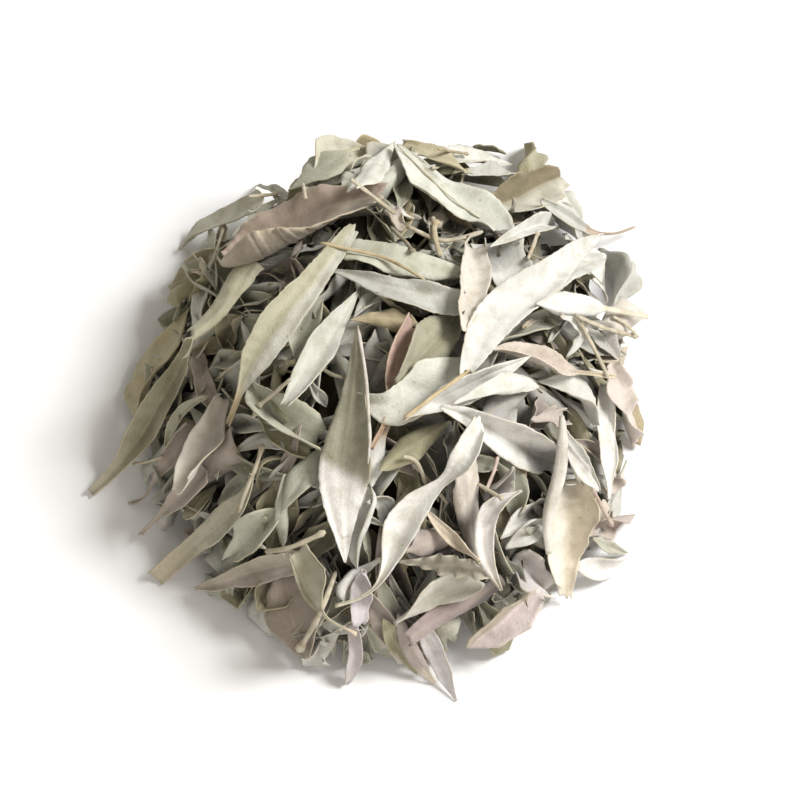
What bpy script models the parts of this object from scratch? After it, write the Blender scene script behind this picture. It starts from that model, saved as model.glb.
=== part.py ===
"""A heap of loose, dried white sage leaves, resting on a table.

The heap is laid leaf by leaf. Each new leaf is held at its stalk, middle and tip, and those three points sink
or rise until the leaf lies on those before it. Leaves strewn by chance are laid outwards, on the ground: a grid
over the heap's rounded form that remembers how far out the leaves reach. Listed leaves are laid in a slanted
drawing plane, on a grid that remembers how near the eye the leaves come at each place of the plane.

Leaves under the top layer are joined into one body. Each leaf and stalk of the top layer is its own object,
clear of all the others. Sizes are in millimetres in the tables and are turned into metres by MM.
"""

import math
import random

import bmesh
import bpy
import numpy as np
from mathutils import Vector
from mathutils.bvhtree import BVHTree

MM = 0.001

# The heap's outer form: a rounded mound, wider than high
HALF_WIDTH = 99.0
HALF_DEPTH = 113.0
HEIGHT = 93.0
ROUNDNESS = 1.75  # 1 is a cone and 2 an ellipsoid
MEAN_RADIUS = 100.0

# The inner mass that the outer leaves lie on, as a share of the outer form
CORE_LEVEL = 0.81
CORE_FOOT_LEVEL = 0.66  # at the table, where leaves lie flat round it
CORE_SIDES = 22
CORE_RINGS = 14
CORE_LUMP = 0.025

# The listed leaves are placed in a slanted drawing plane, as one looks down on the heap from the front:
# u runs to the right and v up the plane
LOOK_DOWN = math.radians(60)
UP_THE_PLANE = np.array([0.0, math.sin(LOOK_DOWN), math.cos(LOOK_DOWN)])
TO_THE_EYE = np.array([0.0, -math.cos(LOOK_DOWN), math.sin(LOOK_DOWN)])
LOOKS_UP = math.sin(LOOK_DOWN)  # how much 1 mm towards the eye lifts a leaf

BLADE_THICK = 1.0
LOOSE_THICK = 0.9
SINK = 0.5  # how far a joined leaf lies in what it touches
LOOSE_GAP = 0.7  # from a loose leaf's middle surface to what it lies on
CLEARANCE = 0.3  # left between loose leaves and everything else
PETIOLE_WIDTH = 2.2
STALK_WIDTH = 2.0
STEEP = 1.6  # the most that a listed leaf runs in depth, for each mm of its length in the plane
TABLE_GAP = 0.6  # the least height of a leaf's middle surface over the table

GROUND_CELLS = 200
GROUND_REACH = 1.15
PLANE_REACH = 160  # from the middle of the drawing plane to its edges, in cells of 1 mm
UNDER_COUNT = 64
BACK_COUNT = 26
FOOT_COUNT = 20
SEED = 7

# Colours as linear values, with the roughness of felted dry leaves
TINTS = {
    "pale": (0.62, 0.63, 0.57),
    "sage": (0.44, 0.44, 0.36),
    "olive": (0.30, 0.29, 0.21),
    "mauve": (0.42, 0.34, 0.32),
    "cream": (0.60, 0.55, 0.45),
    "straw": (0.52, 0.42, 0.25),
}
LEAF_ROUGHNESS = 0.85

# name, stalk end, middle, tip, width, tint, and what differs from a plain leaf
UNDER_LEAVES = [
    ("back_grey", (20, 110), (34, 108), (49, 107), 6, "olive", {}),
    ("back_pale", (51, 97), (40, 101), (28, 100), 8, "pale", {}),
    ("back_lilac", (-8, 97), (2, 102), (13, 99), 10, "pale", {}),
    ("back_tan_fold", (67, 97), (59, 106), (48, 111), 12, "olive", {}),
    ("back_tan", (5, 113), (18, 108), (32, 100), 13, "olive", {}),
    ("crest_olive", (-40, 90), (-22, 104), (-1, 113), 15, "olive", {}),
    ("left_spear", (-42, 95), (-64, 86), (-83, 70), 10, "olive", {}),
    ("left_blue", (-38, 93), (-50, 87), (-61, 73), 10, "pale", {}),
    ("left_tan_rim", (-50, 79), (-72, 68), (-88, 53), 9, "olive", {}),
    ("left_flat_tan", (-83, 47), (-92, 25), (-99, 1), 13, "olive", {}),
    ("left_round", (-70, 60), (-73, 53), (-74, 45), 9, "olive", {}),
    ("left_grey_band", (-60, 68), (-66, 61), (-72, 53), 6, "sage", {}),
    ("left_narrow", (-76, 34), (-74, 20), (-67, 5), 8, "sage", {}),
    ("left_hook", (-103, -32), (-92, -16), (-76, 8), 6, "olive", {}),
    ("left_sickle", (-99, -44), (-90, -32), (-70, -16), 12, "sage", {}),
    ("left_small", (-68, -22), (-75, -30), (-82, -39), 6, "olive", {}),
    ("left_green_pod", (-57, -16), (-62, -24), (-67, -33), 8, "pale", {}),
    ("inner_left", (-56, 19), (-47, 4), (-31, -13), 12, "olive", {}),
    ("inner_strip", (-34, 18), (-29, 11), (-23, 4), 5, "pale", {}),
    ("behind_pale", (-29, 48), (-34, 37), (-38, 23), 10, "sage", {}),
    ("centre_flat", (-17, 43), (-3, 46), (12, 45), 9, "olive", {}),
    ("lower_blade", (-40, -30), (-50, -43), (-61, -55), 13, "sage", {}),
    ("behind_centre", (-24, -6), (-34, -24), (-44, -46), 12, "olive", {}),
    ("foot_tan", (-38, -58), (-38, -75), (-31, -93), 20, "olive", {}),
    ("foot_pink_tail", (-17, -76), (-13, -92), (-15, -103), 8, "mauve", {}),
    ("foot_mauve", (-8, -62), (-2, -78), (6, -93), 10, "mauve", {}),
    ("foot_finger", (4, -70), (9, -88), (17, -104), 6, "pale", {}),
    ("foot_spike", (10, -68), (17, -90), (27, -109), 10, "pale", {}),
    ("front_dark", (6, -50), (20, -47), (34, -44), 12, "mauve", {}),
    ("front_shade", (48, -50), (56, -44), (65, -42), 9, "pale", {}),
    ("front_lilac", (50, -40), (57, -33), (64, -28), 9, "pale", {}),
    ("front_inner", (40, -14), (47, -24), (50, -36), 11, "sage", {}),
    ("right_broken", (50, -50), (57, -60), (63, -70), 14, "mauve", {"torn": True}),
    ("right_stub", (72, -6), (80, -10), (89, -12), 6, "sage", {}),
    ("right_pink_end", (78, -28), (87, -26), (95, -25), 7, "mauve", {"torn": True}),
    ("right_dark_spear", (76, -44), (86, -49), (96, -53), 7, "olive", {}),
    ("right_low_tip", (74, -42), (86, -41), (97, -37), 9, "mauve", {}),
    ("right_edge", (97, 24), (101, 8), (97, -9), 10, "cream", {}),
    ("right_round", (87, 53), (98, 45), (97, 31), 13, "sage", {}),
    ("right_tan_down", (80, 43), (87, 34), (94, 24), 11, "sage", {}),
    ("right_ring_back", (48, 34), (60, 40), (75, 33), 8, "olive", {}),
    ("right_ring_inner", (56, 36), (66, 34), (74, 27), 9, "pale", {}),
    ("right_top_edge", (84, 70), (90, 58), (89, 44), 10, "sage", {}),
    ("right_claw_back", (56, 2), (64, 9), (80, 15), 11, "mauve", {}),
    ("upper_dark", (1, 79), (6, 74), (12, 68), 5, "mauve", {}),
]

TOP_LEAVES = [
    ("top_tan", (71, 101), (57, 93), (42, 82), 16, "olive", {"torn": True}),
    ("right_bulk", (87, 66), (72, 60), (52, 46), 14, "pale", {}),
    ("right_twig_leaf", (98, 78), (79, 77), (58, 89), 8, "cream", {"petiole": 0.45}),
    ("right_bright", (104, 43), (80, 46), (56, 48), 9, "pale", {"petiole": 0.3}),
    ("top_white", (67, 80), (55, 77), (41, 73), 7, "pale", {}),
    ("left_torn", (-46, 71), (-63, 51), (-79, 36), 10, "sage", {"torn": True}),
    ("left_long", (-77, 37), (-91, 3), (-118, -28), 16, "sage", {}),
    ("left_folded", (-66, 15), (-74, -8), (-83, -27), 12, "sage", {"torn": True}),
    ("left_cut", (-55, -18), (-68, -42), (-93, -62), 15, "sage", {"petiole": 0.2, "torn": True}),
    ("low_mauve", (-27, -52), (-52, -57), (-77, -66), 12, "mauve", {}),
    ("low_arc", (-11, -84), (-30, -74), (-42, -52), 14, "olive", {"petiole": 0.2}),
    ("low_pink", (-17, -57), (-12, -70), (-12, -84), 12, "mauve", {}),
    ("foot_roll", (62, -45), (33, -71), (9, -89), 8, "mauve", {}),
    ("foot_fan", (2, -83), (19, -70), (41, -62), 15, "olive", {"petiole": 0.2}),
    ("right_mauve_big", (61, -52), (49, -74), (31, -89), 18, "mauve", {}),
    ("right_low_white", (72, -60), (83, -57), (96, -52), 9, "pale", {}),
    ("front_cream", (34, -53), (32, -33), (34, -11), 10, "cream", {"torn": True}),
    ("front_crinkle", (5, -54), (20, -58), (38, -54), 8, "olive", {}),
    ("front_triangle", (59, -25), (41, -41), (45, -66), 10, "pale", {}),
    ("front_strip", (37, -55), (25, -45), (13, -34), 5, "pale", {}),
    ("centre_olive", (26, 1), (10, -9), (-5, -22), 12, "olive", {}),
    ("centre_mauve", (-8, -14), (0, 12), (10, 41), 10, "mauve", {"petiole": 0.25}),
    ("right_tall", (87, -34), (87, -8), (85, 17), 8, "pale", {}),
    ("right_mauve", (95, 24), (93, 9), (92, -8), 10, "mauve", {}),
    ("right_claw", (57, 20), (70, 12), (83, 0), 9, "sage", {}),
    ("right_arc", (90, 18), (68, 21), (40, 30), 8, "cream", {}),
    ("right_curl", (71, 43), (77, 34), (74, 25), 6, "cream", {}),
    ("centre_back", (30, 50), (17, 36), (3, 18), 15, "olive", {}),
    ("centre_front", (29, 30), (11, 17), (-9, 16), 16, "pale", {}),
    ("centre_edge", (7, 3), (30, 14), (57, 29), 9, "pale", {}),
    ("centre_band", (27, 8), (43, 15), (61, 16), 10, "pale", {}),
    ("front_white", (22, 8), (46, -3), (74, -17), 15, "pale", {}),
    ("front_long", (-21, -74), (6, -42), (38, -1), 15, "pale", {"petiole": 0.28}),
    ("centre_ridge", (-30, 73), (0, 65), (29, 60), 12, "sage", {}),
    ("centre_spear", (34, 44), (4, 54), (-25, 61), 12, "pale", {}),
    ("left_pale", (-12, 53), (-27, 31), (-44, 8), 14, "pale", {}),
    ("left_diagonal", (-63, -1), (-43, 36), (-13, 80), 17, "sage", {"petiole": 0.24}),
    ("mauve_scroll", (-2, 95), (-34, 80), (-68, 65), 18, "mauve", {}),
    ("top_pale", (4, 113), (-4, 103), (-13, 93), 13, "pale", {"torn": True}),
    ("top_broad", (3, 114), (24, 93), (46, 71), 22, "pale", {}),
    ("right_upright", (42, 74), (36, 58), (28, 38), 13, "cream", {}),
    ("right_broad", (88, 75), (54, 52), (30, 20), 20, "pale", {}),
    ("right_fang", (70, -2), (75, -15), (84, -27), 9, "pale", {}),
    ("right_trough", (69, 4), (73, -32), (71, -68), 16, "cream", {}),
    ("centre_long", (-12, 40), (-18, -8), (-17, -56), 18, "sage", {"belly": 0.68}),
]

# name, first end, middle, far end, and how thick the far knob is beside the stalk
STALKS = [
    ("stalk_kinked", (8, 80), (19, 73), (38, 77), 1.0),
    ("stalk_knobbed", (21, 66), (19, 74), (19, 81), 1.9),
    ("stalk_right", (76, 45), (80, 33), (86, 20), 1.3),
    ("stalk_crest", (-15, 98), (-7, 91), (3, 84), 1.4),
    ("stalk_foot", (-22, -58), (-27, -74), (-35, -90), 1.9),
    ("stalk_hook", (6, -13), (12, -15), (15, -23), 1.2),
    ("stalk_left", (-39, 18), (-46, 12), (-52, 7), 1.5),
]


# The heap's rounded form

def polar(points):
    """Each point's place on the ground's grid, and how far out it lies as a share of the outer form."""
    x = points[..., 0] / HALF_WIDTH
    y = points[..., 1] / HALF_DEPTH
    z = np.maximum(points[..., 2], 0.0) / HEIGHT
    away = np.hypot(x, y)
    level = (away**ROUNDNESS + z**ROUNDNESS) ** (1 / ROUNDNESS)
    down = np.arctan2(away, z) / (math.pi / 2)
    turn = np.arctan2(y, x)
    return down * np.cos(turn), down * np.sin(turn), level


def point_at(east, north, level):
    """The point over that place of the ground's grid, at that share of the outer form."""
    down = min(math.hypot(east, north), 1.0)
    turn = math.atan2(north, east)
    away = math.sin(down * math.pi / 2)
    z = math.cos(down * math.pi / 2)
    reach = level / (away**ROUNDNESS + z**ROUNDNESS) ** (1 / ROUNDNESS)
    across = away * reach
    return np.array(
        [
            across * math.cos(turn) * HALF_WIDTH,
            across * math.sin(turn) * HALF_DEPTH,
            z * reach * HEIGHT,
        ]
    )


def outward(point):
    """The mound's outward direction at a point."""
    x, y, z = point
    away = max(math.hypot(x / HALF_WIDTH, y / HALF_DEPTH), 0.02)
    steep = away ** (ROUNDNESS - 2)
    return unit(
        np.array(
            [
                steep * x / HALF_WIDTH**2,
                steep * y / HALF_DEPTH**2,
                (max(z, 0.0) / HEIGHT) ** (ROUNDNESS - 1) / HEIGHT,
            ]
        )
    )


def unit(vector):
    return vector / np.linalg.norm(vector)


def cells_of(east, north):
    scale = GROUND_CELLS / (2 * GROUND_REACH)
    column = np.clip(((east + GROUND_REACH) * scale).astype(int), 0, GROUND_CELLS - 1)
    row = np.clip(((north + GROUND_REACH) * scale).astype(int), 0, GROUND_CELLS - 1)
    return column, row


def core_level(down):
    """The inner mass draws in towards the table, from three quarters of the way down."""
    share = np.clip((down - 0.72) / 0.28, 0.0, 1.0)
    return CORE_LEVEL + (CORE_FOOT_LEVEL - CORE_LEVEL) * share * share * (3 - 2 * share)


def bare_ground():
    """The inner mass alone, before any leaf lies on it."""
    steps = (np.arange(GROUND_CELLS) + 0.5) / GROUND_CELLS * 2 * GROUND_REACH - GROUND_REACH
    east, north = np.meshgrid(steps, steps, indexing="ij")
    return core_level(np.hypot(east, north))


# One leaf

class Blade:
    """A leaf or a stalk, held at its stalk end, its middle and its tip."""

    def __init__(self, name, held, facing, width, tint, changes):
        draw = random.Random(f"{SEED} {name}")
        self.name = name
        self.held = [np.array(point, float) for point in held]
        self.facing = facing
        self.way_up = facing
        self.listed = False
        self.width = width
        self.tint = tint
        self.petiole = changes.get("petiole", draw.uniform(0.08, 0.16))
        self.belly = changes.get("belly", draw.uniform(0.36, 0.5))
        self.torn = changes.get("torn", draw.random() < 0.12)
        bend = draw.choice([1, 1, -1, -1, -1])
        self.curl = changes.get("curl", (bend * draw.uniform(0.3, 1.3), bend * draw.uniform(0.3, 1.3)))
        self.roll = changes.get("roll", draw.uniform(-0.35, 0.35))
        self.twist = changes.get("twist", draw.uniform(-0.8, 0.8))
        self.ruffle = changes.get("ruffle", draw.uniform(0.0, 0.22))
        self.ruffle_turn = draw.uniform(0, 2 * math.pi)
        self.round = False
        self.sides = 4
        self.rings = 5

    def middle_line(self, along):
        """Points and directions of a smooth curve through the three held points."""
        start, middle, end = self.held
        control = 2 * middle - (start + end) / 2
        s = along[..., None]
        point = (1 - s) ** 2 * start + 2 * s * (1 - s) * control + s**2 * end
        way = 2 * (1 - s) * (control - start) + 2 * s * (end - control)
        return point, way / np.linalg.norm(way, axis=-1, keepdims=True)

    def half_width(self, along):
        """A narrow stalk, then a lance-shaped blade that is widest at its belly."""
        x = np.clip((along - self.petiole) / (1 - self.petiole), 0.0, 1.0)
        if self.torn:
            x = x * 0.84
        swell = np.sin(math.pi * x ** (math.log(0.5) / math.log(self.belly))) ** 0.8
        stalk = PETIOLE_WIDTH / 2 * np.clip((1 - along) * 12, 0.0, 1.0)
        return np.maximum(self.width / 2 * swell, stalk)

    def surface(self, along, across):
        """Points of the middle surface and its normals. across runs from -1, the left margin, to 1."""
        point, way = self.middle_line(along)
        side = np.cross(way, self.facing)
        side /= np.linalg.norm(side, axis=-1, keepdims=True)
        face = np.cross(side, way)
        angle = (self.roll + self.twist * (along - 0.5))[..., None]
        face, side = (
            face * np.cos(angle) + side * np.sin(angle),
            side * np.cos(angle) - face * np.sin(angle),
        )
        half = self.half_width(along)
        curl = np.where(across < 0, self.curl[0], self.curl[1]) * (0.7 + 0.6 * np.abs(2 * along - 1))
        bend = np.sign(curl) * np.clip(np.abs(curl), 0.05, 2.4)
        turn = bend * np.abs(across)
        reach = half / np.sin(np.minimum(np.abs(bend), math.pi / 2))
        aside = np.sign(across) * reach * np.sin(np.abs(turn))
        rise = reach * (1 - np.cos(turn)) * np.sign(bend)
        wave = np.sin(along * 15 + self.ruffle_turn + 1.5 * across) * across**2
        rise = rise + self.ruffle * half * wave
        turned = (np.sign(across) * turn)[..., None]
        normal = face * np.cos(turned) - side * np.sin(turned)
        return point + side * aside[..., None] + face * rise[..., None], normal

    def facets(self, rows, columns):
        """Points spread over the flat faces of the leaf's solid, as that many rows and columns."""
        corners = np.array([-1.0, 0.0, 1.0] if self.sides == 4 else [-1.0, -0.5, 0.5, 1.0])
        along, across = np.meshgrid(np.linspace(0, 1, self.rings + 1), corners, indexing="ij")
        corner_points, _ = self.surface(along, across)
        place = np.linspace(0, self.rings, rows)
        i = np.minimum(place.astype(int), self.rings - 1)
        down = (place - i)[:, None, None]
        place = np.linspace(0, len(corners) - 1, columns)
        j = np.minimum(place.astype(int), len(corners) - 2)
        over = (place - j)[None, :, None]
        near = corner_points[i][:, j] * (1 - over) + corner_points[i][:, j + 1] * over
        far = corner_points[i + 1][:, j] * (1 - over) + corner_points[i + 1][:, j + 1] * over
        return near * (1 - down) + far * down

    def shift(self, by):
        self.held = [point + by for point in self.held]

    def length(self):
        start, middle, end = self.held
        return np.linalg.norm(middle - start) + np.linalg.norm(end - middle)


class Stalk(Blade):
    """A bare stalk, round and of even thickness, with a knob at its far end."""

    def __init__(self, name, held, facing, knob):
        super().__init__(name, held, facing, STALK_WIDTH, "straw", {"curl": (0.1, 0.1), "ruffle": 0})
        self.knob = knob
        self.round = True
        self.sides = 5
        self.rings = 8

    def half_width(self, along):
        return STALK_WIDTH / 2 * (1 + (self.knob - 1) * np.exp(-(((along - 0.96) / 0.05) ** 2)))


# Laying leaves on the heap

def in_plane(points):
    """Cells of the drawing plane that each point is seen in, and how near the eye it is."""
    last = 2 * PLANE_REACH - 1
    column = np.clip((points[..., 0] + PLANE_REACH).astype(int), 0, last)
    row = np.clip((points @ UP_THE_PLANE + PLANE_REACH).astype(int), 0, last)
    return (column, row), points @ TO_THE_EYE


def bare_table():
    """How near the eye the empty table is, over the drawing plane."""
    steps = np.arange(2 * PLANE_REACH) + 0.5 - PLANE_REACH
    v = np.ones(len(steps))[:, None] * steps[None, :]
    return (TABLE_GAP - v * math.cos(LOOK_DOWN)) / math.sin(LOOK_DOWN)


def core_points():
    steps = np.linspace(-1.0, 1.0, 260)
    places = [(e, n) for e in steps for n in steps if math.hypot(e, n) < 1.0]
    return np.array([point_at(e, n, float(core_level(np.array(math.hypot(e, n))))) for e, n in places])


def sunk_in(blade, record, gap):
    """How far each part of a leaf is sunk in what is under it, measured along its own way up."""
    points = blade.facets(25, 7)
    if blade.listed:
        cells, near = in_plane(points)
        sunk = record[cells] - near + gap
    else:
        east, north, level = polar(points)
        sunk = (record[cells_of(east, north)] - level) * MEAN_RADIUS + gap
    return np.maximum(sunk, TABLE_GAP - points[..., 2])


def settle(blade, record, gap):
    """Sinks or raises the three held points until the leaf lies on what is under it with that gap."""
    straight = blade.length() * 0.16
    for step in range(14):
        for k, (low, high) in enumerate(((0, 9), (8, 17), (16, 25))):
            move = float(np.percentile(sunk_in(blade, record, gap)[low:high], 97))
            if move < 0:
                move = max(move, -3.0) * (0.5 if step < 8 else 0.0)
            blade.held[k] = blade.held[k] + blade.way_up * move * 0.7
        start, middle, end = blade.held
        bow = float((middle - (start + end) / 2) @ blade.way_up)
        if abs(bow) > straight:
            blade.held[1] = middle - blade.way_up * (bow - math.copysign(straight, bow))
    sunk = sunk_in(blade, record, gap)
    blade.shift(blade.way_up * max(0.0, float(np.percentile(sunk, 97))))
    raise_over_table(blade)


def raise_over_table(blade):
    lowest = float(blade.facets(25, 7)[..., 2].min())
    rise = max(0.0, TABLE_GAP - lowest)
    blade.shift(blade.way_up * rise / LOOKS_UP if blade.listed else np.array([0.0, 0.0, rise]))


def sink_until_joined(blade, trees):
    """Presses a leaf down until its solid runs into what is under it."""
    for step in range(60):
        bm = blade_mesh(blade, BLADE_THICK)
        tree = BVHTree.FromBMesh(bm)
        bm.free()
        if any(len(tree.overlap(other)) > 2 for other in trees):
            break
        blade.shift(blade.facing * -0.4)
        raise_over_table(blade)
    trees.append(tree)


def raise_ground(blade, ground, thick):
    east, north, level = polar(blade.facets(70, 16))
    np.maximum.at(ground, cells_of(east, north), level + thick / 2 / MEAN_RADIUS)


def raise_nearness(points, nearness, thick):
    cells, near = in_plane(points)
    np.maximum.at(nearness, cells, near + thick / 2)


def hold_at(places, nearness):
    """Three points for a leaf seen at those places of the drawing plane, its ends no steeper than STEEP."""
    flat = np.array([np.array([u, 0.0, 0.0]) + v * UP_THE_PLANE for u, v in places])
    cells, _ = in_plane(flat)
    near = nearness[cells]
    for end in (0, 2):
        room = STEEP * math.dist(places[end], places[1])
        near[end] = min(max(near[end], near[1] - room), near[1] + room)
    return [point + TO_THE_EYE * away for point, away in zip(flat, near)]


def laid_in_plane(blade):
    blade.listed = True
    blade.way_up = TO_THE_EYE
    return blade


def listed(rows, nearness):
    """The leaves of a table, one at a time, held where the heap shows their places."""
    for name, stalk, middle, tip, width, tint, changes in rows:
        held = hold_at((stalk, middle, tip), nearness)
        facing = unit(0.6 * outward(held[1]) + 0.4 * TO_THE_EYE)
        yield laid_in_plane(Blade(name, held, facing, width, tint, changes))


def lowest_place(draw, ground, tries, wanted):
    """Of a few places drawn at random, the one where the heap is lowest."""
    places = []
    while len(places) < tries:
        down = math.sqrt(draw.random()) * 0.97
        turn = draw.uniform(-math.pi, math.pi)
        east, north = down * math.cos(turn), down * math.sin(turn)
        if wanted(east, north):
            near = ground[cells_of(east + NEARBY, north + NEARBY.T)]
            places.append((float(near.mean()), east, north))
    return min(places)[1:]


NEARBY = np.linspace(-0.06, 0.06, 5)[:, None] * np.ones((1, 5))


def scattered(prefix, count, ground, seed, wanted):
    """Leaves laid by chance wherever the heap is low, most of them pointing down its slope."""
    draw = random.Random(seed)
    for k in range(count):
        east, north = lowest_place(draw, ground, 8, wanted)
        length = draw.uniform(38, 72)
        slope = math.hypot(east, north)
        heading = math.atan2(north, east) + draw.gauss(0, 0.35 + 1.6 * max(0.0, 0.6 - slope))
        half = length / 2 / 155
        step = np.array([math.cos(heading), math.sin(heading)]) * half
        sway = np.array([-step[1], step[0]]) * draw.uniform(-0.25, 0.25)
        places = [(east - step[0], north - step[1])]
        places.append((east + sway[0], north + sway[1]))
        places.append((east + step[0], north + step[1]))
        held = []
        for place in places:
            column, row = cells_of(np.array(place[0]), np.array(place[1]))
            held.append(point_at(*place, float(ground[column, row])))
        facing = outward((held[0] + held[2]) / 2)
        tint = draw.choices(["sage", "pale", "olive", "mauve"], [5, 4, 2.5, 1.5])[0]
        yield Blade(f"{prefix}_{k:02d}", held, facing, draw.uniform(11, 19), tint, {})


def foot_leaves():
    """Leaves that lie flat on the table, pointing outwards from under the heap."""
    draw = random.Random(SEED)
    for k in range(FOOT_COUNT):
        turn = 2 * math.pi * (k + draw.uniform(-0.3, 0.3)) / FOOT_COUNT
        skew = turn + draw.uniform(-0.35, 0.35)
        inner = np.array([math.cos(turn) * 52, math.sin(turn) * 58, 1.0])
        outer = inner + np.array([math.cos(skew), math.sin(skew), 0.0]) * draw.uniform(32, 42)
        middle = (inner + outer) / 2 + np.array([0.0, 0.0, draw.uniform(0.5, 3.0)])
        changes = {"roll": 0.0, "twist": 0.0, "ruffle": 0.05, "curl": (0.3, 0.3)}
        up = np.array([0.0, 0.0, 1.0])
        yield Blade(f"foot_{k:02d}", [inner, middle, outer], up, draw.uniform(11, 16), "sage", changes)


def hidden_from_front(east, north):
    """The heap's back and far sides, where no listed leaf lies."""
    return north > 0.42 + 0.25 * abs(east)


def anywhere(east, north):
    return True


def lay_heap(core):
    """Lays every leaf. Gives the joined leaves, then the loose leaves and stalks, from the bottom up."""
    ground = bare_ground()
    bm = bmesh.new()
    bm.from_mesh(core.data)
    trees = [BVHTree.FromBMesh(bm)]
    bm.free()
    joined = []
    under = scattered("under", UNDER_COUNT, ground, SEED, anywhere)
    back = scattered("back", BACK_COUNT, ground, SEED + 1, hidden_from_front)
    nearness = bare_table()
    raise_nearness(core_points(), nearness, 0.0)
    for leaves in (foot_leaves(), under, back):
        for blade in leaves:
            settle(blade, ground, -SINK)
            sink_until_joined(blade, trees)
            raise_ground(blade, ground, BLADE_THICK)
            raise_nearness(blade.facets(70, 16), nearness, BLADE_THICK)
            joined.append(blade)
    for blade in listed(UNDER_LEAVES, nearness):
        settle(blade, nearness, -SINK)
        sink_until_joined(blade, trees)
        raise_nearness(blade.facets(70, 16), nearness, BLADE_THICK)
        joined.append(blade)
    loose = []
    for blade in listed(TOP_LEAVES, nearness):
        blade.sides, blade.rings = 6, 9
        settle(blade, nearness, LOOSE_GAP)
        raise_nearness(blade.facets(70, 16), nearness, LOOSE_THICK)
        loose.append(blade)
    for name, first, middle, far, knob in STALKS:
        held = hold_at((first, middle, far), nearness)
        facing = unit(0.6 * outward(held[1]) + 0.4 * TO_THE_EYE)
        stalk = laid_in_plane(Stalk(name, held, facing, knob))
        settle(stalk, nearness, STALK_WIDTH / 2 + 0.3)
        raise_nearness(stalk.facets(70, 16), nearness, STALK_WIDTH)
        loose.append(stalk)
    return joined, loose


# Solids

def leaf_material(tint):
    name = f"dried_leaf_{tint}"
    if name in bpy.data.materials:
        return bpy.data.materials[name]
    material = bpy.data.materials.new(name)
    material.use_nodes = True
    shader = material.node_tree.nodes["Principled BSDF"]
    shader.inputs["Base Color"].default_value = (*TINTS[tint], 1.0)
    shader.inputs["Roughness"].default_value = LEAF_ROUGHNESS
    shader.inputs["Metallic"].default_value = 0.0
    return material


def blade_mesh(blade, thick):
    """A closed blade: a low sphere of that many sides, drawn out along the leaf and flattened to its section.
    Two of its sides are the margins, and the others lie over and under the middle surface."""
    bm = bmesh.new()
    bmesh.ops.create_uvsphere(bm, u_segments=blade.sides, v_segments=blade.rings, radius=1.0)
    shape = np.array([vert.co for vert in bm.verts], float)
    along = np.arccos(np.clip(shape[:, 2], -1, 1)) / math.pi
    turn = np.arctan2(shape[:, 1], shape[:, 0])
    away = np.hypot(shape[:, 0], shape[:, 1]) > 0.01
    if blade.round:
        points, normal = blade.surface(along, np.zeros_like(along))
        _, way = blade.middle_line(along)
        side = np.cross(way, normal)
        radius = ((blade.half_width(along) + (thick - STALK_WIDTH) / 2) * away)[:, None]
        points = points + radius * (side * np.cos(turn)[:, None] + normal * np.sin(turn)[:, None])
    else:
        across = np.where(away, np.round(np.cos(turn), 4), 0.0)
        points, normal = blade.surface(along, across)
        over = np.where(away, np.sign(np.round(np.sin(turn), 4)), 0.0)
        points = points + normal * (over * thick / 2)[:, None]
    for vert, point in zip(bm.verts, points):
        vert.co = Vector(point * MM)
    bmesh.ops.triangulate(bm, faces=bm.faces)
    return bm


def add_object(name, bm, tint, collection=None):
    mesh = bpy.data.meshes.new(name)
    bm.to_mesh(mesh)
    bm.free()
    mesh.materials.append(leaf_material(tint))
    obj = bpy.data.objects.new(name, mesh)
    (collection or bpy.context.scene.collection).objects.link(obj)
    return obj


def core_object():
    """The heap's inner mass of pressed leaves, flat where it rests on the table."""
    bm = bmesh.new()
    bmesh.ops.create_uvsphere(bm, u_segments=CORE_SIDES, v_segments=CORE_RINGS, radius=1.0)
    for vert in bm.verts:
        east, north = vert.co.x, vert.co.y
        down = math.atan2(math.hypot(east, north), max(vert.co.z, 0.0)) / (math.pi / 2)
        turn = math.atan2(north, east)
        lump = CORE_LUMP * math.sin(3 * turn + 7 * down) * math.sin(5 * turn - 4 * down) * down
        level = float(core_level(np.array(down))) + lump
        height = vert.co.z
        point = point_at(down * math.cos(turn), down * math.sin(turn), level)
        point[2] = point[2] if height > -0.01 else height * HEIGHT * 0.3
        vert.co = Vector(point * MM)
    everything = bm.verts[:] + bm.edges[:] + bm.faces[:]
    cut = bmesh.ops.bisect_plane(bm, geom=everything, plane_co=(0, 0, 0), plane_no=(0, 0, -1), clear_outer=True)
    rim = [edge for edge in cut["geom_cut"] if isinstance(edge, bmesh.types.BMEdge)]
    bmesh.ops.contextual_create(bm, geom=rim)
    bmesh.ops.recalc_face_normals(bm, faces=bm.faces)
    bmesh.ops.triangulate(bm, faces=bm.faces)
    return add_object("leaf_heap", bm, "sage")


def join_leaves(heap, blades):
    """Joins the lower leaves and the inner mass into one closed body."""
    repeats = bpy.data.collections.new("joined_leaves")
    bpy.context.scene.collection.children.link(repeats)
    for blade in blades:
        add_object(blade.name, blade_mesh(blade, BLADE_THICK), blade.tint, repeats)
    union = heap.modifiers.new("joined_leaves", "BOOLEAN")
    union.operation = "UNION"
    union.operand_type = "COLLECTION"
    union.collection = repeats
    union.solver = "MANIFOLD"
    graph = bpy.context.evaluated_depsgraph_get()
    joined = bpy.data.meshes.new_from_object(heap.evaluated_get(graph))
    heap.modifiers.remove(union)
    heap.data = joined
    for obj in list(repeats.objects):
        bpy.data.objects.remove(obj)
    bpy.data.collections.remove(repeats)
    keep_largest_body(heap)


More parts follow.
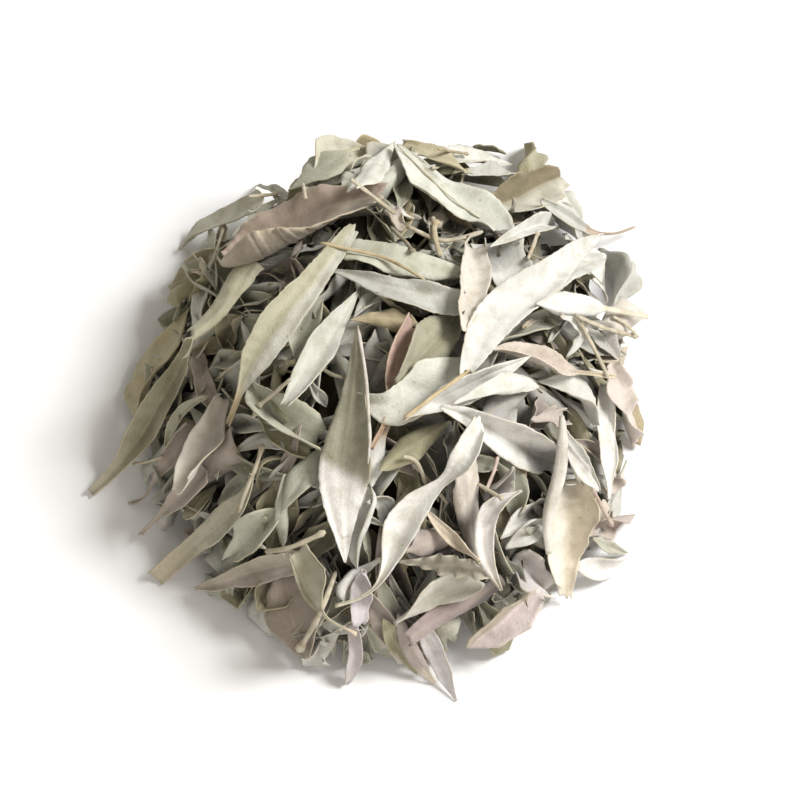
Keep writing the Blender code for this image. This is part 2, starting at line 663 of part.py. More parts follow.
def keep_largest_body(obj):
    """Drops loose scraps and sealed hollows: every connected shell but the largest."""
    bm = bmesh.new()
    bm.from_mesh(obj.data)
    shells = []
    left = set(bm.verts)
    while left:
        shell = {left.pop()}
        edge_of = list(shell)
        while edge_of:
            vert = edge_of.pop()
            for edge in vert.link_edges:
                other = edge.other_vert(vert)
                if other not in shell:
                    shell.add(other)
                    edge_of.append(other)
        left -= shell
        shells.append(shell)
    shells.sort(key=len)
    scraps = [vert for shell in shells[:-1] for vert in shell]
    print("joined body:", len(shells), "shells, dropped", [len(shell) for shell in shells[:-1]])
    print("triangles left:", sum(len(face.verts) - 2 for face in bm.faces))
    bmesh.ops.delete(bm, geom=scraps, context="VERTS")
    bm.to_mesh(obj.data)
    bm.free()


def lay_loose(blades, heap):
    """Makes each loose leaf, raised a little where it would still touch what lies under it."""
    bm = bmesh.new()
    bm.from_mesh(heap.data)
    trees = [BVHTree.FromBMesh(bm)]
    bm.free()
    lifts = []
    for blade in blades:
        thick = STALK_WIDTH if blade.round else LOOSE_THICK
        lifted = 0.0
        while True:
            fat = blade_mesh(blade, thick + 2 * CLEARANCE)
            tree = BVHTree.FromBMesh(fat)
            fat.free()
            if not any(tree.overlap(other) for other in trees) or lifted > 12:
                break
            blade.shift(blade.way_up * 0.4)
            lifted += 0.4
        lifts.append(lifted)
        bm = blade_mesh(blade, thick)
        trees.append(BVHTree.FromBMesh(bm))
        add_object(blade.name if blade.round else f"leaf_{blade.name}", bm, blade.tint)
    print("lifts", [round(x, 1) for x in lifts])


def main():
    for obj in list(bpy.data.objects):
        bpy.data.objects.remove(obj)
    heap = core_object()
    joined, loose = lay_heap(heap)
    join_leaves(heap, joined)
    lay_loose(loose, heap)


main()
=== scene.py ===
# A loose, rounded heap of dried white sage leaves on a pale table.
# The leaves are laid one by one: each is held at a few points and lowered until it lies on those before it.
import math
import random

import bmesh
import bpy
import numpy as np
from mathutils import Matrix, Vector


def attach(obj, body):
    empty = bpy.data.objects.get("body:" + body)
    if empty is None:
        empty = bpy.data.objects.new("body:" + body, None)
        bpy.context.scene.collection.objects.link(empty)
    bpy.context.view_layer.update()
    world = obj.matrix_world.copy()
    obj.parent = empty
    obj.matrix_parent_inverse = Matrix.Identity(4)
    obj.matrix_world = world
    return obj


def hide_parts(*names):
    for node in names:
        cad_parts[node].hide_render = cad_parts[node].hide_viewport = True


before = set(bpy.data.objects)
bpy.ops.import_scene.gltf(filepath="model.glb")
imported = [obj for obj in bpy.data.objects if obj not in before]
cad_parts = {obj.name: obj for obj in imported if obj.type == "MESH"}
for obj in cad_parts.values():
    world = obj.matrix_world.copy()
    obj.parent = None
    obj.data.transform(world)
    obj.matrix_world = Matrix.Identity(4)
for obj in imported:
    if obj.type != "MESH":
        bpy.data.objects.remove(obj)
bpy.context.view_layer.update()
mm = 0.001
perMetre = 1000  # over a size in mm, it gives a pattern's scale

# The mound that the heap fills, in millimetres, and the grid that remembers how far out the leaves reach
mound = {
    "halfWidth": 102.0,
    "halfDepth": 117.0,
    "height": 97.0,
    "roundness": 1.75,  # 1 is a cone and 2 an ellipsoid
    "meanRadius": 100.0,
    "innerLevel": 0.78,  # the pressed litter inside, as a share of the mound
    "innerFoot": 0.55,
    "cells": 260,
    "reach": 1.16,
    "seed": 11,
}

# The camera looks down from the front through a long lens. Leaves are placed by u, to the right, and v, up
# the picture plane, in millimetres from the middle of the heap's underside.
view = {
    "downAngle": math.radians(60),
    "distance": 2400.0,
    "pictureDepth": 55.0,  # how far in front of the origin u and v are true
    "pictureWidth": 320.0,
    "aimU": 4.8,
    "aimV": 9.6,
    "sensor": 36.0,
}
upThePicture = np.array([0.0, math.sin(view["downAngle"]), math.cos(view["downAngle"])])
toTheEye = np.array([0.0, -math.cos(view["downAngle"]), math.sin(view["downAngle"])])
eye = np.array([view["aimU"], 0, 0]) + view["aimV"] * upThePicture + view["distance"] * toTheEye


def makeCamera():
    camera = bpy.data.objects.new("camera", bpy.data.cameras.new("camera"))
    bpy.context.scene.collection.objects.link(camera)
    camera.location = Vector(eye * mm)
    camera.rotation_euler = Vector(toTheEye).to_track_quat("Z", "Y").to_euler()
    camera.data.sensor_width = view["sensor"]
    reach = view["distance"] - view["pictureDepth"]
    camera.data.lens = view["sensor"] * reach / view["pictureWidth"]
    camera.data.clip_end = 20
    bpy.context.scene.camera = camera


def toLinear(hexColour):
    parts = [int(hexColour[i : i + 2], 16) / 255 for i in (1, 3, 5)]
    return [c / 12.92 if c <= 0.04045 else ((c + 0.055) / 1.055) ** 2.4 for c in parts]


def addNode(material, kind, settings=None, inputs=None):
    # each input, by name or number, takes a socket to link or a value to set
    node = material.node_tree.nodes.new(kind)
    for name, value in (settings or {}).items():
        setattr(node, name, value)
    for place, value in (inputs or {}).items():
        if isinstance(value, bpy.types.NodeSocket):
            material.node_tree.links.new(value, node.inputs[place])
        else:
            node.inputs[place].default_value = value
    return node


def newMaterial(name):
    material = bpy.data.materials.new(name)
    material.use_nodes = True
    material.node_tree.nodes.clear()
    return material


def finishMaterial(material, shader):
    addNode(material, "ShaderNodeOutputMaterial", inputs={"Surface": shader.outputs[0]})
    return material


# Materials

felt = {
    "roughness": 0.92,
    "sheen": 0.18,
    "mottleSize": 7.0,  # mm
    "mottleDark": "#B7B49C",
    "fibreSize": 0.55,  # mm; the real down is finer, and is drawn as coarse as shows
    "wrinkleSize": 1.3,
    "ribWidth": 0.55,
    "ribColour": "#D8CFB4",
    "veinSpacing": 2.6,
    "edgeColour": "#CDC1A2",
    "speckColour": "#7A6A4C",
    "speckSize": 3.8,
    "planWidth": 40.0,  # mm that one unit of the leaf's plan stands for, across and along
    "planLength": 100.0,
    "ribShow": 0.12,
    "edgeShow": 0.4,
    "bump": 0.00022,
}

smoothStep = {"interpolation_type": "SMOOTHSTEP"}
colourMix = {"data_type": "RGBA", "blend_type": "MIX"}
colourMultiply = {"data_type": "RGBA", "blend_type": "MULTIPLY"}
multiply = {"operation": "MULTIPLY"}
multiplyAdd = {"operation": "MULTIPLY_ADD"}


def colourOf(hexColour):
    return (*toLinear(hexColour), 1.0)


# The down-covered skin of a dried leaf: quite matt, with a fine nap, faint veins and tanned, brittle margins
def feltedLeaf():
    skin = newMaterial("feltedSageLeaf")
    tint = addNode(skin, "ShaderNodeAttribute", {"attribute_name": "leafTint"})
    plan = addNode(skin, "ShaderNodeUVMap", {"uv_map": "leafPlan"})
    apart = addNode(skin, "ShaderNodeSeparateXYZ", inputs={0: plan.outputs[0]})
    place = addNode(skin, "ShaderNodeTexCoord").outputs["Object"]
    off = addNode(skin, "ShaderNodeMath", {"operation": "SUBTRACT"}, {0: apart.outputs[0], 1: 0.5})
    near = addNode(skin, "ShaderNodeMath", {"operation": "ABSOLUTE"}, {0: off.outputs[0]})
    aside = addNode(skin, "ShaderNodeMath", multiply, {0: near.outputs[0], 1: felt["planWidth"]})
    along = addNode(skin, "ShaderNodeMath", multiply, {0: apart.outputs[1], 1: felt["planLength"]})
    mottle = addNode(
        skin, "ShaderNodeTexNoise",
        inputs={"Vector": place, "Scale": perMetre / felt["mottleSize"], "Detail": 3.0},
    )
    fibre = addNode(
        skin, "ShaderNodeTexNoise",
        inputs={"Vector": place, "Scale": perMetre / felt["fibreSize"], "Detail": 2.0},
    )
    wrinkle = addNode(
        skin, "ShaderNodeTexNoise",
        inputs={"Vector": place, "Scale": perMetre / felt["wrinkleSize"], "Detail": 1.0, "Distortion": 0.6},
    )
    fleck = addNode(
        skin, "ShaderNodeTexNoise",
        inputs={"Vector": place, "Scale": perMetre / felt["speckSize"], "Detail": 4.0},
    )

    # side veins run from the rib towards the tip, and wander a little
    slant = addNode(
        skin, "ShaderNodeMath", multiplyAdd, {0: aside.outputs[0], 1: -0.9, 2: along.outputs[0]}
    )
    wander = addNode(
        skin, "ShaderNodeMath", multiplyAdd, {0: mottle.outputs[0], 1: 2.5, 2: slant.outputs[0]}
    )
    comb = addNode(
        skin, "ShaderNodeMath", {"operation": "PINGPONG"},
        {0: wander.outputs[0], 1: felt["veinSpacing"] / 2},
    )
    vein = addNode(
        skin, "ShaderNodeMapRange", smoothStep,
        {0: comb.outputs[0], "From Max": 0.5, "To Min": 1.0, "To Max": 0.0},
    )
    rib = addNode(skin, "ShaderNodeMapRange", smoothStep, {
        0: aside.outputs[0], "From Min": felt["ribWidth"] * 0.5, "From Max": felt["ribWidth"] * 1.4,
        "To Min": felt["ribShow"], "To Max": 0.0,
    })
    edge = addNode(
        skin, "ShaderNodeMapRange", smoothStep,
        {0: tint.outputs["Alpha"], "From Min": 0.93, "From Max": 1.0, "To Max": felt["edgeShow"]},
    )
    dryness = addNode(
        skin, "ShaderNodeMapRange", smoothStep,
        {0: mottle.outputs[0], "From Min": 0.35, "From Max": 0.62, "To Min": 0.2, "To Max": 1.2},
    )
    tanned = addNode(skin, "ShaderNodeMath", multiply, {0: edge.outputs[0], 1: dryness.outputs[0]})
    speck = addNode(
        skin, "ShaderNodeMapRange", smoothStep,
        {0: fleck.outputs[0], "From Min": 0.69, "From Max": 0.73, "To Max": 0.3},
    )
    patch = addNode(
        skin, "ShaderNodeMapRange", smoothStep,
        {0: mottle.outputs[0], "From Min": 0.42, "From Max": 0.7, "To Max": 0.34},
    )
    grain = addNode(
        skin, "ShaderNodeMapRange", smoothStep,
        {0: fibre.outputs[0], "From Min": 0.3, "From Max": 0.7, "To Min": 0.94, "To Max": 1.04},
    )
    # painted shade: the colour darkens where the wrinkle bump lies low; the grain above is the felt's own
    crease = addNode(
        skin, "ShaderNodeMapRange", smoothStep,
        {0: wrinkle.outputs[0], "From Min": 0.3, "From Max": 0.6, "To Min": 0.965, "To Max": 1.015},
    )
    tone = addNode(skin, "ShaderNodeMath", multiply, {0: grain.outputs[0], 1: crease.outputs[0]})
    shade = addNode(
        skin, "ShaderNodeCombineXYZ", inputs={0: tone.outputs[0], 1: tone.outputs[0], 2: tone.outputs[0]}
    )
    mottled = addNode(
        skin, "ShaderNodeMix", colourMultiply,
        {0: patch.outputs[0], 6: tint.outputs["Color"], 7: colourOf(felt["mottleDark"])},
    )
    napped = addNode(
        skin, "ShaderNodeMix", colourMultiply, {0: 1.0, 6: mottled.outputs[2], 7: shade.outputs[0]}
    )
    ribbed = addNode(
        skin, "ShaderNodeMix", colourMix,
        {0: rib.outputs[0], 6: napped.outputs[2], 7: colourOf(felt["ribColour"])},
    )
    edged = addNode(
        skin, "ShaderNodeMix", colourMix,
        {0: tanned.outputs[0], 6: ribbed.outputs[2], 7: colourOf(felt["edgeColour"])},
    )
    flecked = addNode(
        skin, "ShaderNodeMix", colourMix,
        {0: speck.outputs[0], 6: edged.outputs[2], 7: colourOf(felt["speckColour"])},
    )

    nap = addNode(skin, "ShaderNodeMath", multiplyAdd, {0: fibre.outputs[0], 1: 0.5, 2: wrinkle.outputs[0]})
    raised = addNode(skin, "ShaderNodeMath", multiplyAdd, {0: rib.outputs[0], 1: 2.0, 2: nap.outputs[0]})
    sunken = addNode(
        skin, "ShaderNodeMath", multiplyAdd, {0: vein.outputs[0], 1: -0.1, 2: raised.outputs[0]}
    )
    relief = addNode(
        skin, "ShaderNodeBump",
        inputs={"Strength": 0.8, "Distance": felt["bump"], "Height": sunken.outputs[0]},
    )
    shader = addNode(skin, "ShaderNodeBsdfPrincipled", inputs={
        "Base Color": flecked.outputs[2], "Normal": relief.outputs[0], "Roughness": felt["roughness"],
        "Sheen Weight": felt["sheen"], "Sheen Roughness": 0.5, "Specular IOR Level": 0.2,
    })
    return finishMaterial(skin, shader)


straw = {
    "roughness": 0.75,
    "ridges": (18.0, 6.0, 1.0),  # how often the ridges repeat across and along the plan
    "blotchSize": 5.5,  # mm
    "blotchColour": "#C4B698",
    "bump": 0.0003,
}


# Dried leaf stalks, like straw: long ridges down the length and darker blotches
def dryStalk():
    skin = newMaterial("dryLeafStalk")
    tint = addNode(skin, "ShaderNodeAttribute", {"attribute_name": "leafTint"})
    place = addNode(skin, "ShaderNodeTexCoord").outputs["Object"]
    plan = addNode(skin, "ShaderNodeUVMap", {"uv_map": "leafPlan"})
    drawn = addNode(skin, "ShaderNodeVectorMath", multiply, {0: plan.outputs[0], 1: straw["ridges"]})
    ridges = addNode(
        skin, "ShaderNodeTexNoise", inputs={"Vector": drawn.outputs[0], "Scale": 3.0, "Detail": 3.0}
    )
    blotch = addNode(
        skin, "ShaderNodeTexNoise",
        inputs={"Vector": place, "Scale": perMetre / straw["blotchSize"], "Detail": 3.0},
    )
    patch = addNode(
        skin, "ShaderNodeMapRange", smoothStep,
        {0: blotch.outputs[0], "From Min": 0.45, "From Max": 0.7, "To Max": 0.5},
    )
    tone = addNode(
        skin, "ShaderNodeMapRange", smoothStep,
        {0: ridges.outputs[0], "From Min": 0.3, "From Max": 0.7, "To Min": 0.8, "To Max": 1.1},
    )
    shade = addNode(
        skin, "ShaderNodeCombineXYZ", inputs={0: tone.outputs[0], 1: tone.outputs[0], 2: tone.outputs[0]}
    )
    blotched = addNode(
        skin, "ShaderNodeMix", colourMultiply,
        {0: patch.outputs[0], 6: tint.outputs["Color"], 7: colourOf(straw["blotchColour"])},
    )
    ridged = addNode(
        skin, "ShaderNodeMix", colourMultiply, {0: 1.0, 6: blotched.outputs[2], 7: shade.outputs[0]}
    )
    relief = addNode(
        skin, "ShaderNodeBump",
        inputs={"Strength": 0.7, "Distance": straw["bump"], "Height": ridges.outputs[0]},
    )
    shader = addNode(skin, "ShaderNodeBsdfPrincipled", inputs={
        "Base Color": ridged.outputs[2], "Normal": relief.outputs[0], "Roughness": straw["roughness"],
        "Specular IOR Level": 0.3,
    })
    return finishMaterial(skin, shader)


shadedLitter = {
    "turns": 64,
    "rings": 40,
    "lump": 0.03,  # as a share of the mound
    "below": 0.03,
    "crumbSize": 6.0,  # mm
    "blotchSize": 11.0,
    # painted shade: near black, for the shade deep between the leaves
    "dark": "#2E281D",
    "light": "#4A4334",
    "roughness": 0.95,
    "bump": 0.003,
}


# Painted shade: crumbled leaf pressed together inside the heap, painted near black as the shade between the
# leaves
def paintedShadeLitter():
    skin = newMaterial("pressedLitterPaintedShade")
    place = addNode(skin, "ShaderNodeTexCoord").outputs["Object"]
    crumbs = addNode(
        skin, "ShaderNodeTexVoronoi", inputs={"Vector": place, "Scale": perMetre / shadedLitter["crumbSize"]}
    )
    blotch = addNode(
        skin, "ShaderNodeTexNoise",
        inputs={"Vector": place, "Scale": perMetre / shadedLitter["blotchSize"], "Detail": 5.0},
    )
    colour = addNode(
        skin, "ShaderNodeMix", colourMix,
        {0: blotch.outputs[0], 6: colourOf(shadedLitter["dark"]), 7: colourOf(shadedLitter["light"])},
    )
    relief = addNode(
        skin, "ShaderNodeBump",
        inputs={"Strength": 1.0, "Distance": shadedLitter["bump"], "Height": crumbs.outputs[0]},
    )
    shader = addNode(skin, "ShaderNodeBsdfPrincipled", inputs={
        "Base Color": colour.outputs[2], "Normal": relief.outputs[0], "Roughness": shadedLitter["roughness"],
        "Specular IOR Level": 0.1,
    })
    return finishMaterial(skin, shader)


# The mound and the record of how high the leaves lie on it

def unit(vector):
    return vector / np.linalg.norm(vector)


def polar(points):
    # where each point falls on the grid, and how far out it is as a share of the mound
    x = points[..., 0] / mound["halfWidth"]
    y = points[..., 1] / mound["halfDepth"]
    z = np.maximum(points[..., 2], 0.0) / mound["height"]
    away = np.hypot(x, y)
    power = mound["roundness"]
    level = (away**power + z**power) ** (1 / power)
    down = np.arctan2(away, z) / (math.pi / 2)
    turn = np.arctan2(y, x)
    return down * np.cos(turn), down * np.sin(turn), level


def pointAt(east, north, level):
    down = min(math.hypot(east, north), 1.0)
    turn = math.atan2(north, east)
    away = math.sin(down * math.pi / 2)
    z = math.cos(down * math.pi / 2)
    power = mound["roundness"]
    reach = level / (away**power + z**power) ** (1 / power)
    across = away * reach
    return np.array([
        across * math.cos(turn) * mound["halfWidth"],
        across * math.sin(turn) * mound["halfDepth"],
        z * reach * mound["height"],
    ])


def outward(point):
    x, y, z = point
    away = max(math.hypot(x / mound["halfWidth"], y / mound["halfDepth"]), 0.02)
    steep = away ** (mound["roundness"] - 2)
    rise = (max(z, 0.0) / mound["height"]) ** (mound["roundness"] - 1) / mound["height"]
    return unit(np.array([steep * x / mound["halfWidth"] ** 2, steep * y / mound["halfDepth"] ** 2, rise]))


def cellsOf(east, north):
    scale = mound["cells"] / (2 * mound["reach"])
    column = np.clip(((east + mound["reach"]) * scale).astype(int), 0, mound["cells"] - 1)
    row = np.clip(((north + mound["reach"]) * scale).astype(int), 0, mound["cells"] - 1)
    return column, row


def innerLevel(down):
    share = np.clip((down - 0.72) / 0.28, 0.0, 1.0)
    return mound["innerLevel"] + (mound["innerFoot"] - mound["innerLevel"]) * share * share * (3 - 2 * share)


def bareGround():
    steps = (np.arange(mound["cells"]) + 0.5) / mound["cells"] * 2 * mound["reach"] - mound["reach"]
    east, north = np.meshgrid(steps, steps, indexing="ij")
    return innerLevel(np.hypot(east, north))


# The shape of one leaf

leafForm = {
    "thick": 0.5,
    "stalkWidth": 1.7,
    "rowLength": 1.4,  # mm between the rows of a listed leaf
    "fewestRows": 16,
    "columns": 13,
    "lowerFewestRows": 12,
    "lowerColumns": 9,
    "scatteredRows": 13,
    "scatteredColumns": 5,
    "stalkGrid": (26, 13),  # rows and columns
    "looseStalkGrid": (20, 11),
    "edgeNotch": 0.03,  # the scalloped margin, as a share of the width
    "notches": 200,
    "notchesAlong": 97,
    "fineSteps": 24,  # from the rib to the margin, along the curl
    "outlinedCurl": 1.3,  # how much more a leaf with its own outline curls
    "leastSeen": 0.6,  # a side that shows less of its width than this is widened no further
    "tableGap": 0.4,
}


# Painted light over the heap, as factors in red, green and blue: the left and back, away from the lamp, are
# painted lighter and yellower, and the right a little lighter and mauve
paintedLight = {"left": (0.2, 0.18, 0.08), "right": (0.03, 0.01, 0.025)}

# How the leaves dried: share, curl of the more curled side, curl of the other side, fold at the rib, and how
# close to the margin the curl is, where 1 is an even arc
dryingHabits = {
    "rolled": (4.0, (1.8, 2.8), (1.3, 2.5), (0.0, 0.4), (0.9, 1.5)),
    "halfRolled": (3.5, (1.5, 2.7), (0.3, 1.0), (0.0, 0.5), (1.1, 2.2)),
    "folded": (2.5, (0.3, 1.0), (0.2, 0.8), (0.7, 1.5), (1.0, 2.0)),
    "flat": (1.5, (0.6, 1.3), (0.4, 1.0), (-0.2, 0.3), (1.3, 2.2)),
}


def splineWeights(knots, places):
    # how much each held point counts at each place of a smooth curve through them, and in its direction
    count = len(knots)
    gaps = np.diff(knots)
    left = np.eye(count)
    right = np.zeros((count, count))
    for i in range(1, count - 1):
        left[i, i - 1 : i + 2] = gaps[i - 1], 2 * (gaps[i - 1] + gaps[i]), gaps[i]
        right[i, i - 1 : i + 2] = 6 / gaps[i - 1], -6 / gaps[i - 1] - 6 / gaps[i], 6 / gaps[i]
    bend = np.linalg.solve(left, right)
    k = np.clip(np.searchsorted(knots, places, side="right") - 1, 0, count - 2)
    gap = gaps[k]
    before = (knots[k + 1] - places) / gap
    after = 1 - before
    rows = np.arange(len(places))
    point = np.zeros((len(places), count))
    way = np.zeros((len(places), count))
    point[rows, k] += before
    point[rows, k + 1] += after
    way[rows, k] -= 1 / gap
    way[rows, k + 1] += 1 / gap
    point += ((before**3 - before) * gap**2 / 6)[:, None] * bend[k]
    point += ((after**3 - after) * gap**2 / 6)[:, None] * bend[k + 1]
    way -= ((3 * before**2 - 1) * gap / 6)[:, None] * bend[k]
    way += ((3 * after**2 - 1) * gap / 6)[:, None] * bend[k + 1]
    return point, way


class Leaf:
    def __init__(self, name, held, facing, width, changes):
        draw = random.Random(f"{mound['seed']} {name}")
        self.name = name
        self.held = np.array(held, float)
        self.facing = facing
        self.width = width
        self.tint = shaded(changes.get("tint", "#C6BEA9"), draw)
        habit = draw.choices(list(dryingHabits), [row[0] for row in dryingHabits.values()])[0]
        _, closed, wide, folds, margins = dryingHabits[habit]
        upDown = draw.choice([1, 1, 1, -1, -1])
        curl = [upDown * draw.uniform(*closed), upDown * draw.uniform(*wide)]
        if draw.random() < 0.5:
            curl.reverse()
        self.stalk = changes.get("stalk", draw.choice([0.02, 0.04, draw.uniform(0.06, 0.18)]))
        self.belly = changes.get("belly", draw.uniform(0.34, 0.56))
        self.torn = changes.get("torn", draw.random() < 0.3)
        self.curl = changes.get("curl", tuple(curl))
        self.margin = changes.get("margin", draw.uniform(*margins))
        self.roll = changes.get("roll", draw.uniform(-0.4, 0.4))
        self.twist = changes.get("twist", draw.uniform(-2.0, 2.0))
        self.fold = changes.get("fold", draw.uniform(*folds))
        self.ruffle = changes.get("ruffle", draw.uniform(0.05, 0.32))
        self.waves = changes.get("waves", draw.uniform(1.2, 3.2))
        self.straw = changes.get("straw")
        self.bow = changes.get("bow", draw.uniform(-1.5, 3.0))
        self.tipLift = changes.get("tipLift", draw.uniform(-2.0, 4.5))
        self.tipTint = changes.get("tipTint")
        self.tipFrom = changes.get("tipFrom", 0.72)
        self.tipFade = changes.get("tipFade", 0.16)
        self.sideTint = changes.get("sideTint")
        # painted light, by the leaf's place over the heap
        across = float(np.clip((0.7 * self.held[:, 0].mean() - 0.5 * self.held[:, 1].mean()) / 110, -1, 1))
        self.paintedLight = 1 + abs(across) * np.array(paintedLight["right" if across > 0 else "left"])
        self.phase = [draw.uniform(0, 2 * math.pi) for _ in range(8)]
        self.notches = [draw.uniform(-1, 1) for _ in range(leafForm["notches"])]
        steps = np.linalg.norm(np.diff(self.held, axis=0), axis=1)
        self.knots = np.concatenate([[0.0], np.cumsum(steps)]) / steps.sum()
        # each crease: its place along the leaf, its slant, its depth, and half its width in mm
        self.creases = [
            (
                draw.uniform(0.12, 0.9),
                draw.uniform(-1.1, 1.1),
                draw.uniform(0.1, 0.3) * draw.choice([-1, 1]),
                draw.uniform(7, 13),
            )
            for _ in range(draw.choice([1, 2, 3]))
        ]
        self.sway = draw.uniform(-3.5, 3.5)
        self.isStalk = False
        self.listed = False
        self.sides = None
        self.wayUp = np.array([facing] * len(held))

    def length(self):
        return float(np.linalg.norm(np.diff(self.held, axis=0), axis=1).sum())

    def halfWidth(self, along):
        if self.sides is not None:
            middle = self.sides.mean(axis=1)
            smooth = splineWeights(self.knots, along)[0] @ middle
            return np.maximum(0.5 * smooth + 0.5 * np.interp(along, self.knots, middle), 0.25)
        x = np.clip((along - self.stalk) / (1 - self.stalk), 0.0, 1.0)
        if self.torn:
            x = x * 0.82
        swell = np.sin(math.pi * x ** (math.log(0.5) / math.log(self.belly)))
        uneven = 1 + 0.07 * np.sin(7 * along + self.phase[0]) + 0.04 * np.sin(17 * along + self.phase[1])
        swell = swell * uneven
        stem = leafForm["stalkWidth"] / 2 * np.clip((1 - along) * 10, 0.0, 1.0)
        if self.stalk < 0.05:
            stem = stem * np.clip(along * 14 + 0.25, 0.0, 1.0)
        return ((self.width / 2 * swell) ** 3 + stem**3) ** (1 / 3)

    def surface(self, rows, columns):
        # points of the leaf's middle surface, row by row from the stalk and column by column across
        along = np.linspace(0, 1, rows)
        across = np.linspace(-1, 1, columns)[None, :]
        weights, wayWeights = splineWeights(self.knots, along)
        lift = self.bow * np.sin(math.pi * along) + self.tipLift * along**3
        point = weights @ self.held + lift[:, None] * self.facing
        way = wayWeights @ self.held
        slope = math.pi * self.bow * np.cos(math.pi * along) + 3 * self.tipLift * along**2
        way += slope[:, None] * self.facing
        way /= np.linalg.norm(way, axis=1, keepdims=True)
        side = np.cross(way, self.facing)
        side /= np.linalg.norm(side, axis=1, keepdims=True)
        face = np.cross(side, way)
        angle = (self.roll + self.twist * (along - 0.5))[:, None]
        face, side = face * np.cos(angle) + side * np.sin(angle), side * np.cos(angle) - face * np.sin(angle)
        half = self.halfWidth(along)
        if self.sides is None:
            point = point + (self.sway * along**4)[:, None] * side
        places = np.arange(rows) * leafForm["notchesAlong"] / rows
        notch = np.array([self.notches[int(k)] for k in places])
        half = (half * (1 + leafForm["edgeNotch"] * notch))[:, None]
        aside = np.zeros((rows, columns))
        rise = np.zeros((rows, columns))
        inStem = np.clip(1 - along / max(self.stalk, 0.01), 0, 1)
        fine = leafForm["fineSteps"]
        steps = (np.arange(fine) + 0.5) / fine
        tighter = leafForm["outlinedCurl"] if self.sides is not None else 1.0
        for sign, bend in ((-1, self.curl[0]), (1, self.curl[1])):
            bend = bend * tighter * (0.75 + 0.45 * np.sin(3.5 * along + self.phase[2] + 1.3 * sign))
            bend = np.sign(bend) * np.clip(np.abs(bend) + 1.6 * inStem, 0.04, 2.9)
            turn = bend[:, None] * steps[None, :] ** self.margin
            out = np.concatenate([np.zeros((rows, 1)), np.cumsum(np.cos(turn), axis=1)], axis=1)
            over = np.concatenate([np.zeros((rows, 1)), np.cumsum(np.sin(turn), axis=1)], axis=1)
            uneven = 0.1 * np.sin(4.5 * along + self.phase[0] + 2 * sign)
            uneven = uneven + 0.05 * np.sin(13 * along - self.phase[1])
            wide = half * (1 + uneven[:, None])
            if self.sides is not None:
                # what the eye sees of this side, with its curl and fold, is as wide as its outline says
                aslant = np.cross(way, toTheEye)
                aslant /= np.linalg.norm(aslant, axis=1, keepdims=True)
                level = (side * aslant).sum(axis=1, keepdims=True)
                raised = (face * aslant).sum(axis=1, keepdims=True)
                shown = (out * level + sign * (over + self.fold * out) * raised).max(axis=1, keepdims=True)
                share = np.interp(along, self.knots, self.sides[:, (sign + 1) // 2])
                share = share / np.interp(along, self.knots, self.sides.mean(axis=1))
                least = leafForm["leastSeen"] * out.max(axis=1, keepdims=True)
                wide = wide * share[:, None] / np.maximum(shown, least)
            elif self.listed:
                seen = np.maximum(np.sqrt(1 - (side @ toTheEye) ** 2), leafForm["leastSeen"])
                wide = wide / out.max(axis=1, keepdims=True) / seen[:, None]
            else:
                wide = wide / fine
            here = np.nonzero(sign * across[0] > 0)[0]
            step = np.round(np.abs(across[0, here]) * fine).astype(int)
            aside[:, here] = sign * out[:, step] * wide
            rise[:, here] = over[:, step] * wide
        rise = rise + self.fold * np.abs(aside)
        wave = np.sin(along[:, None] * self.waves * 2 * math.pi + self.phase[3] + 0.9 * np.sign(across))
        rise = rise + self.ruffle * half * wave * across**2
        crinkle = np.sin(along[:, None] * self.waves * 19 + self.phase[6] + 2 * np.sign(across))
        rise = rise + 0.035 * half * crinkle * across**4
        dents = np.sin(9 * along[:, None] + 2.2 * across + self.phase[4]) * np.sin(5 * across + self.phase[5])
        rise = rise + 0.09 * half * dents
        pucker = np.sin(along[:, None] * self.length() * 1.1 + 3 * np.abs(across) + self.phase[7])
        rise = rise + 0.13 * pucker * np.sin(math.pi * np.abs(across)) * (half > 2)
        for start, slant, depth, span in self.creases:
            nearCrease = np.abs((along[:, None] - start) * self.length() / span + slant * across)
            rise = rise + depth * np.minimum(half, 5) * np.clip(1 - nearCrease, 0, 1)
        tear = 0.0
        if self.torn:
            jag = np.sin(3.5 * across + self.phase[6]) * 0.7 + np.sin(9 * across + self.phase[7]) * 0.3
            late = np.clip((along[:, None] - 0.8) / 0.2, 0, 1)
            tear = late * (jag * 0.15 - 0.25 * across * math.sin(self.phase[5])) * self.width
        spread = point[:, None, :] + side[:, None, :] * aside[..., None] + face[:, None, :] * rise[..., None]
        if self.torn:
            spread = spread + way[:, None, :] * tear[..., None]
        return spread

    def colours(self, rows, columns):
        # tint over the leaf, with how near the margin each place is as its fourth number
        along = np.linspace(0, 1, rows)[:, None, None]
        across = np.linspace(-1, 1, columns)[None, :, None]
        # the tint times the painted light and shade that the leaf was given
        tint = (np.array(toLinear(self.tint)) * self.paintedLight)[None, None, :] * np.ones((rows, columns, 1))
        if self.sideTint:
            share = np.clip(across * 3 + 0.3, 0, 1)
            tint = tint * (1 - share) + np.array(toLinear(self.sideTint)) * share
        if self.tipTint:
            share = np.clip((along + 0.05 * across - self.tipFrom) / self.tipFade, 0, 1)
            tint = tint * (1 - share) + np.array(toLinear(self.tipTint)) * share
        stem = np.clip((self.stalk * 1.2 - along) / 0.08, 0, 1) * (0.9 if self.straw else 0.45)
        tint = tint * (1 - stem) + np.array(toLinear(self.straw or "#C9BC98")) * stem
        margin = np.abs(across) * (1 - stem) * np.ones((rows, columns, 1))
        return np.concatenate([tint, margin], axis=2)


